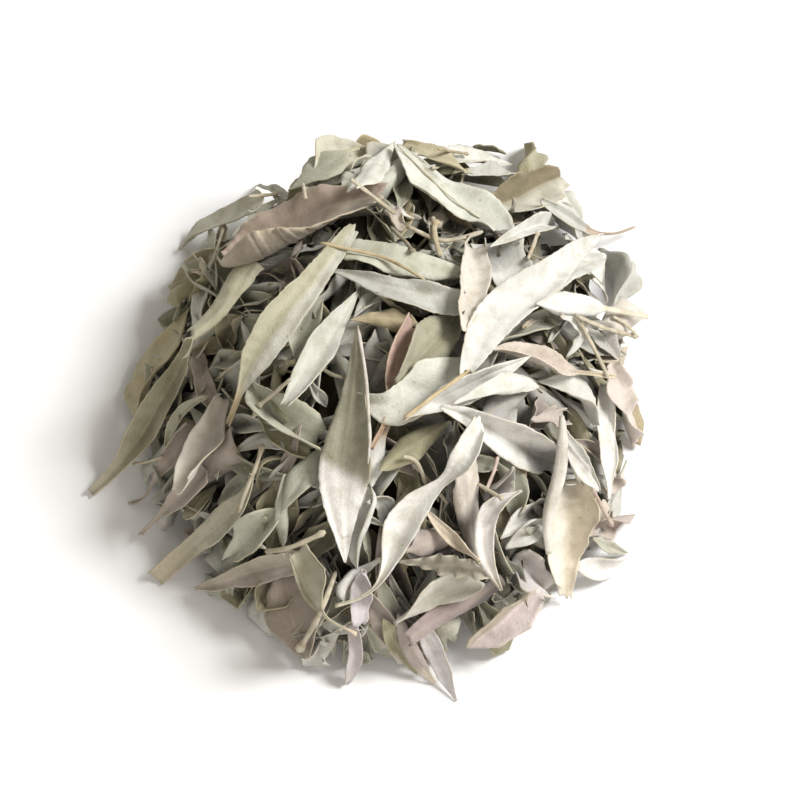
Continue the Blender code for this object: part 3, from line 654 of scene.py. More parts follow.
class Stalk(Leaf):
    def __init__(self, name, held, facing, thick, changes):
        super().__init__(name, held, facing, thick, changes)
        self.isStalk = True
        self.knob = changes.get("knob", 1.5)
        self.flare = changes.get("flare", 1.0)

    def surface(self, rows, columns):
        along = np.linspace(0, 1, rows)
        turn = (np.linspace(-1, 1, columns) * math.pi)[None, :, None]
        weights, wayWeights = splineWeights(self.knots, along)
        point = weights @ self.held
        way = wayWeights @ self.held
        way /= np.linalg.norm(way, axis=1, keepdims=True)
        side = np.cross(way, self.facing)
        side /= np.linalg.norm(side, axis=1, keepdims=True)
        face = np.cross(side, way)
        radius = self.width / 2 * (1 + (self.knob - 1) * np.exp(-(((along - 0.95) / 0.06) ** 2)))
        radius = radius * (1 + (self.flare - 1) * np.exp(-((along / 0.08) ** 2)))
        radius = radius * (1 + 0.08 * np.sin(19 * along + self.phase[0]))
        radius[0] *= 0.55
        radius[-1] *= 0.45
        ring = side[:, None, :] * np.cos(turn) * 1.15 + face[:, None, :] * np.sin(turn) * 0.85
        return point[:, None, :] + ring * radius[:, None, None]

    def colours(self, rows, columns):
        tint = np.array(toLinear(self.tint))[None, None, :] * np.ones((rows, columns, 1))
        return np.concatenate([tint, np.zeros((rows, columns, 1))], axis=2)


# Laying the leaves

# Scattered leaves are laid outwards, on a record of how far out the leaves reach all round the mound. Listed
# leaves are laid towards the eye, on a record of how near the eye the leaves come at each place of the
# picture.
sightLine = {
    "reach": 160.0,  # mm from the middle of the picture to its edges
    "steep": 1.6,  # the most that a held point lies back behind the next, for each mm in the picture
}

settling = {
    "rounds": 9,
    "sag": 0.07,  # how much being clear counts, against being sunk
    "slack": 6,  # per cent by which the rounds lay a leaf lower than the last step does
    "steady": 0.02,
    "longest": 12,  # mm that a held point moves in one round
    "last": 5,  # mm that the whole leaf moves at the end
    "usualLength": 60,  # mm; a longer leaf bends more easily
}

# The gap in mm between a leaf and what is under it, its stiffness, and the per cent of it that ends up clear
laying = {
    "foot": (0.0, 1.0, 92),
    "scattered": (-1.3, 0.5, 90),  # pushed into those below
    "lower": (0.0, 0.3, 95),
    "tucked": (-1.0, 0.3, 55),
    "top": (0.7, 0.35, 99),
    "stalk": (0.2, 92),  # its gap is a third of its thickness
}

# Rows and columns of the points that stand for a leaf while the heap is laid
grids = {
    "settling": (22, 7),
    "table": (70, 19),
    "reach": (12, 5),
    "scattered": (60, 15),
    "listed": (90, 19),
    "tucked": (50, 9),
    "stalk": (90, 9),
}

# Painted shade: how much darker a leaf is painted inside the heap, where less light reaches, from and over
# how many mm of depth. The depth is evened out over this many cells around each.
depthShade = {"most": 0.66, "from": 1.5, "span": 9.0, "around": 4}


def sightThrough(u, v):
    # a point on the picture plane and the way from it to the eye, where one step is 1 mm nearer
    through = np.array([u, 0.0, 0.0]) + v * upThePicture + view["pictureDepth"] * toTheEye
    sight = eye - through
    return through, sight / (sight @ toTheEye)


def inPicture(points):
    # u and v of each point as the camera sees it, and how near the eye it is
    away = points - eye
    depth = -(away @ toTheEye)
    scale = (view["distance"] - view["pictureDepth"]) / depth
    u = view["aimU"] + away[..., 0] * scale
    v = view["aimV"] + (away @ upThePicture) * scale
    return u, v, view["distance"] - depth


def pictureCells(u, v):
    last = int(2 * sightLine["reach"]) - 1
    column = np.clip((u + sightLine["reach"]).astype(int), 0, last)
    row = np.clip((v + sightLine["reach"]).astype(int), 0, last)
    return column, row


def bareTable():
    steps = np.arange(2 * sightLine["reach"]) + 0.5 - sightLine["reach"]
    v = np.ones(len(steps))[:, None] * steps[None, :]
    return (leafForm["tableGap"] - v * math.cos(view["downAngle"])) / math.sin(view["downAngle"])


def raiseNearness(points, nearness, thick):
    u, v, near = inPicture(points)
    np.maximum.at(nearness, pictureCells(u, v), near + thick / 2)


def sunkIn(leaf, record, gap, rows, columns):
    # how far each part of the leaf is sunk in what is under it
    points = leaf.surface(rows, columns)
    if leaf.listed:
        u, v, near = inPicture(points)
        return record[pictureCells(u, v)] - near + gap, leafForm["tableGap"] - points[..., 2]
    east, north, level = polar(points)
    sunk = (record[cellsOf(east, north)] - level) * mound["meanRadius"] + gap
    return sunk, leafForm["tableGap"] - points[..., 2]


def bendsOf(leaf):
    # how much each inner held point counts as bent out of line with its neighbours
    count = len(leaf.held)
    bends = np.zeros((count - 2, count))
    for k in range(1, count - 1):
        span = leaf.knots[k + 1] - leaf.knots[k - 1]
        share = (leaf.knots[k] - leaf.knots[k - 1]) / span
        bends[k - 1, k - 1 : k + 2] = share - 1, 1.0, -share
        bends[k - 1] *= (settling["usualLength"] / (span * leaf.length())) ** 1.5
    return bends


def settle(leaf, record, gap, stiffness, contact):
    # the held points move along their own ways up until the leaf lies on what is under it: being sunk in it
    # counts in full, being clear of it only a little, and being bent as much as the leaf is stiff
    grid = grids["settling"]
    weights, _ = splineWeights(leaf.knots, np.linspace(0, 1, grid[0]))
    bends = bendsOf(leaf)
    for _ in range(settling["rounds"]):
        sunk, underTable = sunkIn(leaf, record, gap, *grid)
        need = np.maximum(np.percentile(sunk, contact - settling["slack"], axis=1), underTable.max(axis=1))
        pull = weights.T * np.where(need > 0, 1.0, settling["sag"])
        bow = np.einsum("kx,kx->k", bends @ leaf.held, leaf.wayUp[1:-1])
        moves = np.linalg.solve(
            pull @ weights + stiffness * bends.T @ bends + settling["steady"] * np.eye(len(leaf.held)),
            pull @ need - stiffness * bends.T @ bow,
        )
        leaf.held += leaf.wayUp * np.clip(moves, -settling["longest"], settling["longest"])[:, None]
    sunk, _ = sunkIn(leaf, record, gap, *grid)
    leaf.held += leaf.wayUp * np.clip(np.percentile(sunk, contact), -settling["last"], settling["last"])
    _, underTable = sunkIn(leaf, record, gap, *grids["table"])
    rise = leaf.wayUp / leaf.wayUp[0][2] if leaf.listed else np.array([0.0, 0.0, 1.0])
    leaf.held += rise * max(0.0, float(underTable.max()))


def raiseGround(leaf, ground):
    east, north, level = polar(leaf.surface(*grids["listed"]))
    np.maximum.at(ground, cellsOf(east, north), level + leafForm["thick"] / 2 / mound["meanRadius"])


def paintedDepthShade(points, outside):
    # painted shade: places deep inside the heap are painted darker than those in the open
    east, north, level = polar(points)
    deep = (outside[cellsOf(east, north)] - level) * mound["meanRadius"]
    return 1 - depthShade["most"] * np.clip((deep - depthShade["from"]) / depthShade["span"], 0, 1)[..., None]


# the outer reach evened out over a few cells, so that the painted shade has no hard steps
def smoothed(ground):
    reach = range(-depthShade["around"], depthShade["around"] + 1)
    return sum(np.roll(ground, (a, b), (0, 1)) for a in reach for b in reach) / len(reach) ** 2


def holdAt(places, nearness):
    # the held points of a listed leaf, on what the camera sees there, but no steeper than a leaf can hang
    u, v = np.array(places, float).T
    seen = nearness[pictureCells(u, v)]
    middle = len(places) // 2
    near = seen.copy()
    for order in (range(middle + 1, len(places)), range(middle - 1, -1, -1)):
        for k in order:
            before = k - 1 if k > middle else k + 1
            room = sightLine["steep"] * math.dist(places[k], places[before])
            near[k] = min(max(seen[k], near[before] - room), near[before] + room)
    held = []
    sights = []
    for k in range(len(places)):
        through, sight = sightThrough(u[k], v[k])
        held.append(through + sight * (near[k] - view["pictureDepth"]))
        sights.append(sight)
    return np.array(held), np.array(sights)


# Colours of the listed leaves, named as they look in daylight
tints = {
    "white": "#DBDBD6",
    "pale": "#CCCDC5",
    "sage": "#B3B4A5",
    "olive": "#9C987F",
    "tan": "#A89C80",
    "mauve": "#B0A69F",
    "pink": "#C9C0B8",
    "lavender": "#C6C0C0",
    "grey": "#BAB8B2",
    "cream": "#D2C8B6",
    "dark": "#7D7864",
}

# Leaves under the top layer: name, places from the stalk's end to the tip, width in mm, tint, what differs
lowerLeaves = [
    ("backDark", [(47, 108), (38, 107), (30, 106)], 5, "dark", {}),
    ("topBackTan", [(-20, 104), (-10, 108), (0, 107)], 6, "tan", {}),
    ("upperLeftBlue", [(-44, 90), (-52, 84), (-61, 74)], 9, "pale", {}),
    ("leftRimTan", [(-54, 72), (-70, 64), (-83, 51)], 6, "sage", {"tint": "#B3AD98"}),
    ("leftRimLower", [(-76, 60), (-82, 52), (-84, 46)], 9, "olive", {}),
    ("underTongue", [(12, 45), (4, 47), (-5, 52)], 6, "olive", {}),
    ("crumpledTan", [(12, 40), (0, 43), (-15, 44)], 8, "tan", {"ruffle": 0.5}),
    ("lowerLeftDark", [(-38, -60), (-46, -68), (-50, -74)], 14, "dark", {}),
    ("bottomDark",
     [(-42, -57, 3, 3), (-39.6, -66, 9, 9), (-37.6, -76, 12, 11), (-34.6, -86, 8, 6), (-32.4, -94, 1, 1)],
     23, "dark",
     {"tint": "#9A8F83", "torn": False, "curl": (0.4, 0.3), "fold": 0.1, "twist": 0.3}),
    ("shadowMauve", [(-28, -30), (-35, -37), (-42, -45)], 8, "dark", {}),
    ("behindSpear", [(-26, 50), (-31, 40), (-36, 26)], 10, "sage", {}),
    ("roundSmall", [(-37, 25), (-43, 22), (-50, 20)], 8, "olive", {}),
    ("oliveRoundLeft", [(-67, 58), (-72, 52), (-77, 47)], 9, "olive", {}),
    ("greyLeftSmall", [(-64, 64), (-68, 60), (-72, 54)], 7, "grey", {}),
    ("sageLeftPoint", [(-46, 51), (-56, 48), (-66, 43)], 7, "sage", {}),
    ("darkLeftCurl", [(-58, 43), (-63, 35), (-66, 26)], 10, "dark", {"curl": (1.6, 1.6)}),
    ("oliveLeftTip", [(-68, -24), (-75, -31), (-82, -39)], 7, "olive", {}),
    ("smallCurl", [(-49, -27), (-54, -33), (-57, -41)], 5, "sage", {}),
    ("smallSage", [(-37, -13), (-44, -19), (-49, -31)], 7, "olive", {}),
    ("pinkBitRight", [(86, -26), (91, -26), (95, -25)], 6, "pink", {"torn": True}),
    ("topFillRight", [(16, 100), (31, 97), (47, 93)], 11, "olive", {}),
    ("topFillMiddle", [(-6, 101), (9, 97), (24, 93)], 11, "pale", {}),
    ("topFillLeft", [(-44, 84), (-28, 90), (-10, 98)], 10, "olive", {}),
    ("topFillBack", [(18, 102), (34, 103), (50, 99)], 12, "white", {"curl": (0.5, 0.5)}),
    ("whiteUnderTop", [(52, 99), (40, 100), (28, 101)], 8, "pale", {}),
    ("smallFoldLeft", [(-67, 85), (-66, 78), (-65, 71)], 6, "olive", {}),
    ("backLilac", [(-8, 97), (2, 102), (13, 99)], 10, "grey", {}),
    ("crestOlive", [(-37, 86), (-23, 97), (-4, 107)], 12, "sage", {"tint": "#BDBBAF"}),
    ("crestFill", [(-20, 94), (-6, 100), (8, 105)], 12, "pale", {}),
    ("lowerLeftBroad", [(-36, -16), (-42, -34), (-50, -52)],
     15, "olive", {"curl": (0.5, 0.6), "torn": False}),
    ("lowerLeftInner", [(-22, -38), (-30, -48), (-42, -56)], 12, "olive", {"curl": (0.6, 0.5)}),
    ("innerLeft", [(-56, 19), (-47, 4), (-31, -13)], 11, "olive", {}),
    ("frontDark", [(6, -50), (20, -47), (34, -44)], 12, "mauve", {}),
    ("frontInner", [(40, -14), (47, -24), (50, -36)], 11, "sage", {}),
    ("rightRingBack", [(48, 34), (60, 40), (75, 33)], 8, "olive", {}),
    ("upperLeftSage", [(-12, 111), (-25, 102), (-39, 92)], 14, "sage", {"curl": (-0.8, -0.4)}),
    ("topOlive", [(6, 112, 1.5, 1.5), (16, 108.6, 4, 4.5), (25, 103, 3.5, 5), (31, 99.6, 2.5, 2)], 9, "olive",
     {"torn": True, "curl": (0.9, 0.5), "tint": "#B5AE97"}),
    ("topRightOlive", [(57, 96.6, 4, 5), (54.6, 103.6, 5.6, 7), (52.6, 110, 3, 4.6)], 13, "olive",
     {"tint": "#9B957B", "sideTint": "#B9B5A0", "torn": False, "curl": (0.8, 0.9)}),
    ("whiteCrumple", [(33, 72), (42, 64), (52, 48)], 17, "white", {"curl": (1.2, 0.6), "ruffle": 0.3}),
    ("rightGreyStalked", [(83, 75), (72, 80), (60, 87)], 7, "pale", {"stalk": 0.3}),
    ("rightRimWhite", [(84, 70), (89, 60), (90, 47)], 9, "pale", {}),
    ("rightUpperCream", [(72, 67), (81, 61), (88, 50)], 12, "pale", {"tint": "#E4E3DD", "curl": (0.6, 0.5)}),
    ("rightShoulder", [(52, 86), (64, 80), (76, 71)], 12, "white", {"curl": (0.7, 0.5)}),
    ("rightShoulderLow", [(70, 76), (79, 66), (84, 55)], 11, "white", {"curl": (0.6, 0.4)}),
    ("rightRoundPink", [(84, 38), (95, 41), (104, 43)], 17, "pink", {"belly": 0.6, "tint": "#D3CEC5"}),
    ("loopGrey", [(56, 35), (63, 33), (73, 27)], 6, "mauve", {}),
    ("foldMidRight", [(42, 31), (56, 38), (70, 43)], 8, "sage", {"fold": 0.7}),
    ("greyRight", [(77, 42), (86, 34), (94, 25)], 9, "grey", {}),
    ("greyWhiteUpper", [(45, -46), (54, -37), (64, -28)], 10, "white", {}),
    ("greyWhiteLower", [(47, -50), (56, -43), (64, -38)], 8, "white", {}),
    ("greyMidLower", [(7, -51), (18, -47), (29, -44)], 11, "mauve", {}),
    ("narrowGreyDown", [(-4, -59), (0, -70), (4, -83)], 7, "sage", {}),
    ("pinkishDown", [(-8, -66), (-3, -78), (3, -92)], 9, "mauve", {}),
    ("bottomStub", [(-2, -78), (4, -89), (12, -98)], 8, "olive", {"torn": True}),
    ("bottomCreamTip", [(4, -76), (9, -90), (17, -104)], 6, "mauve", {"tipTint": "#D2C8B6"}),
    ("whitePointBottom",
     [(13, -78, 2.5, 2.5), (17.5, -90, 3.8, 3.8), (22.5, -100, 2.8, 2.8), (27, -109, 0.4, 0.4)],
     8, "lavender",
     {"curl": (0.6, 0.6), "tint": "#ECE9EB", "torn": False}),
    ("lavenderTail", [(-14, -80, 2.2, 2.2), (-13.2, -92.4, 3, 3), (-15.8, -103, 1.4, 1.4)], 6, "lavender",
     {"torn": True, "curl": (0.9, 0.6)}),
    ("narrowWhiteDown", [(-3, -54), (-11, -60), (-18, -70)], 5, "white", {}),
    ("sageLowerLeft", [(-39, -31), (-49, -41), (-60, -54)], 12, "sage", {}),
    ("narrowVertical", [(-41, -20), (-43, -34), (-43, -49)], 5, "sage", {}),
    ("sageCentreLeft", [(-24, -8), (-34, -21), (-43, -35)], 10, "sage", {}),
    ("sageDownRight", [(-55, 18), (-46, 4), (-29, -11)], 13, "sage", {}),
    ("mauveLeftUpright", [(-76, 34), (-73, 19), (-67, 4)], 8, "mauve", {}),
    ("curvedStripLeft", [(-72, 11), (-81, 4), (-90, -10)], 4, "sage", {"curl": (1.8, 1.8)}),
    ("darkMauveLeft", [(-63, -1), (-69, -14), (-76, -28)], 10, "mauve", {}),
    ("blueGreenSmall", [(-56, -17), (-61, -25), (-67, -33)], 7, "sage", {}),
    ("rightPointMauve", [(78, -45), (88, -40), (97, -37)], 8, "mauve", {}),
    ("rightLowerPoint", [(82, -46), (88, -50), (94, -53)], 6, "sage", {}),
    ("greyBroadLowerRight", [(50.8, -52.4, 5, 4), (57, -59, 7, 7), (62, -66.4, 6.4, 6)], 13, "pink",
     {"torn": False, "curl": (0.8, 0.6), "tint": "#DCD8D6"}),
    ("mauveInner", [(60, 11), (58, 4), (55, -4)], 9, "mauve", {}),
    ("greyWhiteInner", [(38, 3), (46, 8), (56, 12)], 11, "grey", {}),
    ("greyInnerLeft", [(27, 1), (25, -7), (23, -16)], 9, "grey", {}),
    ("greyDarkInner", [(50, -17), (45, -24), (39, -31)], 9, "grey", {}),
    ("paleBelowLobe", [(-8, -24), (-10, -40), (-12, -58)], 8, "white", {}),
    ("smallWhiteCross", [(-31, 17), (-28, 12), (-24, 6)], 4, "pale", {}),
    ("pinkCrumple", [(57, 1), (63, 1), (69, 1)], 8, "pink", {"ruffle": 0.6, "torn": True}),
    ("thinGreyRight", [(75, -16), (80, -21), (86, -26)], 5, "grey", {}),
    ("leftFinger", [(-50, 90, 5, 5), (-62, 84.4, 3.8, 3.8), (-73, 78, 3.2, 3.2), (-83, 69.6, 1, 1)],
     9, "sage",
     {"curl": (0.9, 0.5), "torn": False, "tint": "#C6C5BC"}),
    ("pinkSmallTop", [(-2, 85), (2, 82), (7, 79)], 8, "pink", {"torn": True}),
    ("tanRightPoint", [(94, 14), (99, 4), (100, -7)], 8, "tan", {}),
    ("whiteLobe", [(3, 18), (2, 4), (-5, -12), (-8, -25)], 9, "white", {"stalk": 0.5, "straw": "#C9B39A"}),
    ("leftOliveFlat", [(-79, 47), (-91, 28), (-99, 1)], 17, "tan",
     {"curl": (0.4, -0.3), "torn": False, "tint": "#B5AD92"}),
    ("mauveLeftStalked",
     [(-102.6, -31.8, 1.1, 1.1), (-98, -30.2, 0.8, 0.8), (-92.8, -22.4, 0.8, 0.8), (-86.4, -13.6, 3.6, 3.4),
      (-77.2, 0.8, 3, 3)], 7, "mauve", {"torn": False, "curl": (1.0, 0.7)}),
    ("mauveLeftLower",
     [(-98.6, -43.8, 0.7, 0.7), (-92.8, -38, 0.8, 0.8), (-83.2, -29, 4.4, 4), (-73, -19, 4, 4)], 9, "mauve",
     {"fold": 0.4, "torn": False, "curl": (0.8, 0.5)}),
    ("mauveTubeRight", [(73, -7), (80, -10), (88, -12)], 5, "mauve", {"curl": (2.2, 2.2), "torn": True}),
]

# Leaves of the top layer. The second word is the solid that the leaf stands for, if it has one.
topLeaves = [
    ("foldedOliveLeaf", "leaf_top_tan",
     [(41, 86.6, 4, 5), (51.6, 90, 8.6, 8), (61.6, 95.6, 7.6, 8), (70, 99.8, 5, 4.6)], 17, "olive",
     {"curl": (0.3, 0.9), "sideTint": "#C9C6B8", "torn": False, "twist": 0.2, "tint": "#857B64",
      "roll": 0.1}),
    ("rightBulkLeaf", "leaf_right_bulk", [(87, 66), (72, 60), (52, 46)], 14, "pale", {}),
    ("longStalkedLeaf", "leaf_right_twig_leaf",
     [(98.4, 78.4, 0.5, 0.5), (90, 75.8, 0.5, 0.5), (82, 76, 1.4, 1.4), (71, 82, 3.4, 3.4),
      (59, 88, 1.2, 1.2)], 7,
     "pale", {"stalk": 0.4, "straw": "#B9A695", "curl": (1.0, 1.0)}),
    ("flatRightLeaf", "leaf_right_bright", [(104, 43), (80, 46), (56, 48)], 9, "white", {"stalk": 0.3}),
    ("upperWhiteLeaf", "leaf_top_white", [(68, 78), (55, 77), (41, 73)], 8, "white", {}),
    ("rolledLeftLeaf", "leaf_left_torn",
     [(-53, 65, 4.5, 4.5), (-62.4, 52, 4.6, 4.6), (-70, 42.4, 4.2, 4.2), (-77.5, 35.5, 3, 3)], 9, "sage",
     {"curl": (-1.2, -1.1), "torn": True, "tint": "#B5B3A0"}),
    ("longLeftLeaf", "leaf_left_long",
     [(-78, 34.4, 2.6, 2.6), (-83.2, 20.8, 3.6, 4), (-91.2, 6.4, 5.6, 5.6), (-99.2, -7.2, 5.2, 5.2),
      (-108, -18.4, 2.6, 2.6), (-117.4, -27.4, 1.5, 1.5)], 11, "sage",
     {"curl": (0.8, 1.2), "margin": 1.3, "twist": -0.4, "tint": "#ABA894", "tipTint": "#B5B09C",
      "torn": False}),
    ("brightTipLeaf", "leaf_left_folded",
     [(-66.4, 10.4, 2.6, 2.6), (-73.2, -4.4, 6, 6), (-77.6, -16.4, 6, 5.6), (-81, -27, 4.8, 4.6)],
     13, "mauve",
     {"fold": 0.4, "curl": (0.9, 1.3), "tipTint": "#DAD3C8", "torn": True, "tint": "#B3ACA6"}),
    ("squareCutLeaf", "leaf_left_cut",
     [(-54, -19, 0.9, 0.9), (-56.6, -28, 2, 2), (-62, -35, 5.2, 5.4), (-70.4, -42.4, 5.2, 5),
      (-79.2, -49.6, 4, 4.2),
      (-92.6, -61.4, 3.4, 3.4)], 11, "sage",
     {"torn": False, "curl": (0.5, 0.7), "tint": "#B3AF9E", "tipTint": "#B9B09B"}),
    ("lowPinkTanLeaf", "leaf_low_mauve",
     [(-33, -53.6, 5, 5), (-47.2, -58, 5.2, 5.6), (-59.2, -60.8, 4.8, 3.6), (-77, -65.8, 0.4, 0.4)],
     11, "tan",
     {"tint": "#B9AFA6", "curl": (0.7, 1.0), "torn": False, "sideTint": "#ABA394"}),
    ("lowOliveLeaf", "leaf_low_arc",
     [(-12.4, -83.2, 0.8, 0.8), (-23.2, -78.6, 1, 1.2), (-31.2, -71.2, 1.2, 7), (-36, -61.6, 1.4, 10),
      (-39.2, -52, 1, 6)], 11, "sage",
     {"stalk": 0.12, "curl": (0.3, 0.9), "torn": True, "tint": "#A9A692", "straw": "#CDBFA4"}),
    ("lavenderLeaf", "leaf_low_pink",
     [(-9.2, -58.4, 1.4, 1.4), (-10.8, -68.4, 4.6, 4.6), (-13, -80.4, 2.6, 3.2)], 9, "lavender",
     {"curl": (0.9, 0.9), "torn": True, "tint": "#D2CDD0"}),
    ("longMauveRoll", "leaf_foot_roll",
     [(46, -62, 2.4, 2.4), (30.8, -72, 3.2, 3.2), (18.8, -78.4, 3.6, 3.6), (8, -86.6, 3, 3)], 7, "mauve",
     {"curl": (-1.5, -1.3), "twist": 0.3, "torn": True, "tint": "#A09491"}),
    ("jaggedFanLeaf", "leaf_foot_fan",
     [(2, -79.4, 1, 1), (12.8, -72, 3.6, 4), (24.8, -66.4, 5.6, 6), (37, -61.4, 4, 4.4)], 12, "sage",
     {"torn": True, "curl": (0.9, 0.5), "fold": 0.35, "tint": "#C8C7BC"}),
    ("broadPinkLeaf", "leaf_right_mauve_big",
     [(60, -65.6, 6, 7), (50.8, -72.8, 8.6, 8), (40.8, -81.6, 7, 5.4), (31.4, -88.6, 0.5, 0.5)], 16, "pink",
     {"curl": (0.4, 0.7), "sideTint": "#B7AB98", "torn": False, "tint": "#E0D8D8"}),
    ("lowWhiteLeaf", "leaf_right_low_white", [(73, -57), (84, -57), (96, -53)], 9, "white", {}),
    ("creamTube", "leaf_front_cream",
     [(31.2, -13.6, 4.4, 4.4), (32, -26.4, 5.2, 5.2), (32.6, -40.4, 4.2, 4.4), (34.6, -53.4, 0.8, 0.8)], 10,
     "cream", {"curl": (-1.9, -1.7), "twist": 0.2, "torn": False, "tint": "#DFD7CC"}),
    ("crinkledLeaf", "leaf_front_crinkle", [(4, -55), (20, -56), (38, -55)], 8, "cream",
     {"ruffle": 0.8, "waves": 5, "tint": "#BFBAAB"}),
    ("bentWhiteLeaf", "leaf_front_triangle",
     [(53.6, -26.8, 0.5, 0.5), (44, -32, 3.4, 2.6), (38.4, -40.8, 5, 4.2), (38.6, -50.8, 3.6, 3.8),
      (45, -66.5, 0.4, 0.4)], 9, "white",
     {"tint": "#E6E4E1", "tipTint": "#8B8370", "tipFrom": 0.86, "fold": 0.5, "torn": False}),
    ("narrowCreamLeaf", "leaf_front_strip", [(37, -55), (25, -45), (13, -34)],
     5, "cream", {"curl": (1.6, 1.6)}),
    ("oliveCentreLeaf", "leaf_centre_olive", [(25, 1), (11, -8), (-4, -18)], 11, "olive", {}),
    ("foldedMauveLeaf", "leaf_centre_mauve",
     [(-6.8, -10, 0.9, 0.9), (0.6, 6.4, 0.9, 0.9), (1.8, 16, 2.8, 2.8), (4.8, 28, 4.4, 4.2),
      (9.6, 39.6, 4.6, 4.4)],
     9, "mauve", {"torn": True, "fold": 0.5, "stalk": 0.3, "straw": "#C6AD96", "curl": (0.9, 0.6),
      "tint": "#BDA397"}),
    ("whiteUprightLeaf", "leaf_right_tall",
     [(87, 16, 2.4, 2.4), (86, 1.6, 3.6, 3.6), (86.8, -14.4, 3.2, 3.2), (86, -30, 1, 1)], 7, "white",
     {"curl": (1.3, 1.1), "torn": False}),
    ("pinkUprightLeaf", "leaf_right_mauve",
     [(89.6, 24.8, 3, 3), (92.8, 9.6, 7, 5), (96.8, -9, 2.6, 2.6)], 12, "pink",
     {"curl": (0.6, 0.9), "torn": True, "fold": 0.3}),
    ("crescentLeaf", "leaf_right_claw", [(60, 17), (73, 12), (83, 0)], 9, "pale", {"curl": (0.9, 0.9)}),
    ("windingPinkLeaf", "leaf_right_arc", [(91, 19), (80, 20), (64, 22), (49, 28), (40, 31)], 8, "cream",
     {"stalk": 0.25, "twist": 1.4, "tint": "#D6CBC0"}),
    ("whiteCurlLeaf", "leaf_right_curl", [(69, 43), (77, 36), (74, 26)], 6, "white", {"curl": (1.5, 1.2)}),
    ("broadOliveLeaf", "leaf_centre_back", [(30, 47), (19, 34), (4, 18)], 18, "olive",
     {"tint": "#AAA892", "curl": (0.4, 0.3)}),
    ("whiteWingLeaf", "leaf_centre_front", [(31, 27), (12, 13), (-2, 9), (-12, 15)], 19, "pale",
     {"curl": (0.9, 0.4), "margin": 1.3, "tint": "#CDCEC5", "torn": False, "belly": 0.45, "stalk": 0.02}),
    ("strawEdgedLeaf", "leaf_centre_edge", [(6, 2), (30, 15), (56, 28)], 10, "white", {"stalk": 0.06}),
    ("paleBandLeaf", "leaf_centre_band", [(26, 8), (43, 15), (61, 14)], 9, "pale", {}),
    ("whiteDiagonalLeaf", "leaf_front_white",
     [(20.8, 6.8, 1, 1), (32.8, 2.4, 4.4, 5), (44.8, -4, 6.6, 8.6), (56.8, -10.8, 6.4, 7.4),
      (67, -15.4, 4.6, 4)],
     15, "white", {"curl": (0.4, 0.9), "torn": True, "twist": 0.5}),
    ("windingWhiteLeaf", "leaf_front_long",
     [(-21, -73, 0.8, 0.8), (-5, -65, 0.8, 0.8), (1, -53, 3.4, 3.2), (5, -42, 6.5, 5.5), (12, -31, 5.2, 5),
      (20.5, -23.4, 2.2, 2.2), (27.6, -15.4, 4, 4.4), (33, -7, 4.5, 4), (36.6, 1, 3, 3)], 12, "white",
     {"stalk": 0.2, "twist": 1.2, "roll": -0.2, "curl": (0.8, 1.5), "margin": 1.2, "fold": 0.2,
      "torn": True}),
    ("strawRibLeaf", "leaf_centre_ridge", [(-27, 72), (2, 65), (29, 58)], 13, "sage", {"tint": "#BFC0B2"}),
    ("paleTongueLeaf", "leaf_centre_spear",
     [(30, 48.4, 5.5, 5.5), (16.8, 50.8, 5.8, 5.8), (4.8, 53.2, 4.8, 5.2), (-10.4, 57.2, 2.2, 2.6),
      (-24, 60.8, 0.4, 0.4)], 12, "pale", {"curl": (0.5, 0.9), "torn": False}),
    ("paleSpearLeaf", "leaf_left_pale",
     [(-12.4, 52.4, 0.5, 0.5), (-18.8, 40.8, 2.8, 4.6), (-26.4, 29.6, 6, 6), (-34, 18.4, 4.6, 5),
      (-41.6, 7.6, 2, 1.2)], 12, "pale", {"curl": (0.8, 1.0), "margin": 1.3, "torn": True}),
    ("longDiagonalLeaf", "leaf_left_diagonal",
     [(-64, 0, 0.8, 0.8), (-59.2, 12.8, 1.5, 1.2), (-52, 27.6, 7, 6), (-43.2, 40.8, 7.6, 7),
      (-33.2, 53.2, 5.8, 6),
      (-22.4, 67.2, 4, 4.2), (-13.6, 78.4, 2.6, 2.6)], 15, "sage",
     {"curl": (1.3, 0.6), "margin": 1.2, "tint": "#A7A592", "sideTint": "#C3C2B6", "twist": 0.4, "torn": True,
      "straw": "#C9B996", "stalk": 0.14}),
    ("rolledMauveLeaf", "leaf_mauve_scroll",
     [(-65, 65, 4.4, 3), (-56, 68, 8.4, 7), (-48, 72, 10, 9.6), (-35.2, 78.4, 11, 10),
      (-19.2, 85.6, 9.6, 8.4),
      (-2.4, 91.2, 4, 4.2)], 18, "mauve",
     {"curl": (0.4, 1.5), "margin": 1.0, "torn": True, "tint": "#AE9F95", "sideTint": "#BCB1A1",
      "ruffle": 0.1,
      "twist": -0.2, "fold": 0.05, "roll": -0.1}),
    ("upperPaleLeaf", "leaf_top_pale", [(3, 113), (-5, 104), (-13, 94)], 12, "white", {"torn": True}),
    ("clearRibLeaf", "leaf_top_broad",
     [(3.6, 111.6, 0.8, 0.8), (10, 105.6, 1.5, 5), (18, 97.6, 2.6, 10), (27.6, 88.8, 6.4, 9.2),
      (36.8, 82.8, 9, 5), (43.4, 76.6, 6, 1.5)], 15, "pale",
     {"tint": "#CDCFC7", "curl": (0.4, 0.7), "margin": 1.6, "fold": 0.18, "twist": 0.1, "roll": 0.0,
      "torn": True, "bow": 2.0}),
    ("creamPinkLeaf", "leaf_right_upright",
     [(35, 70, 4, 4.4), (34.4, 60, 6, 6), (32.4, 48, 5, 5.6), (28.6, 36.6, 2, 1.6)], 12, "cream",
     {"tint": "#DCD6CC", "curl": (1.0, 0.9), "fold": 0.2, "torn": False}),
    ("bigWhiteLeaf", "leaf_right_broad",
     [(84.8, 74.8, 0.8, 0.8), (75.6, 69.6, 4, 3.5), (62, 58.8, 7, 6), (48, 47.6, 7.5, 8), (37.2, 33.6, 7, 8),
      (30.5, 20, 3.5, 1.5)], 16, "white",
     {"curl": (0.7, 0.9), "margin": 1.3, "twist": 0.6, "roll": -0.2, "torn": True, "ruffle": 0.15}),
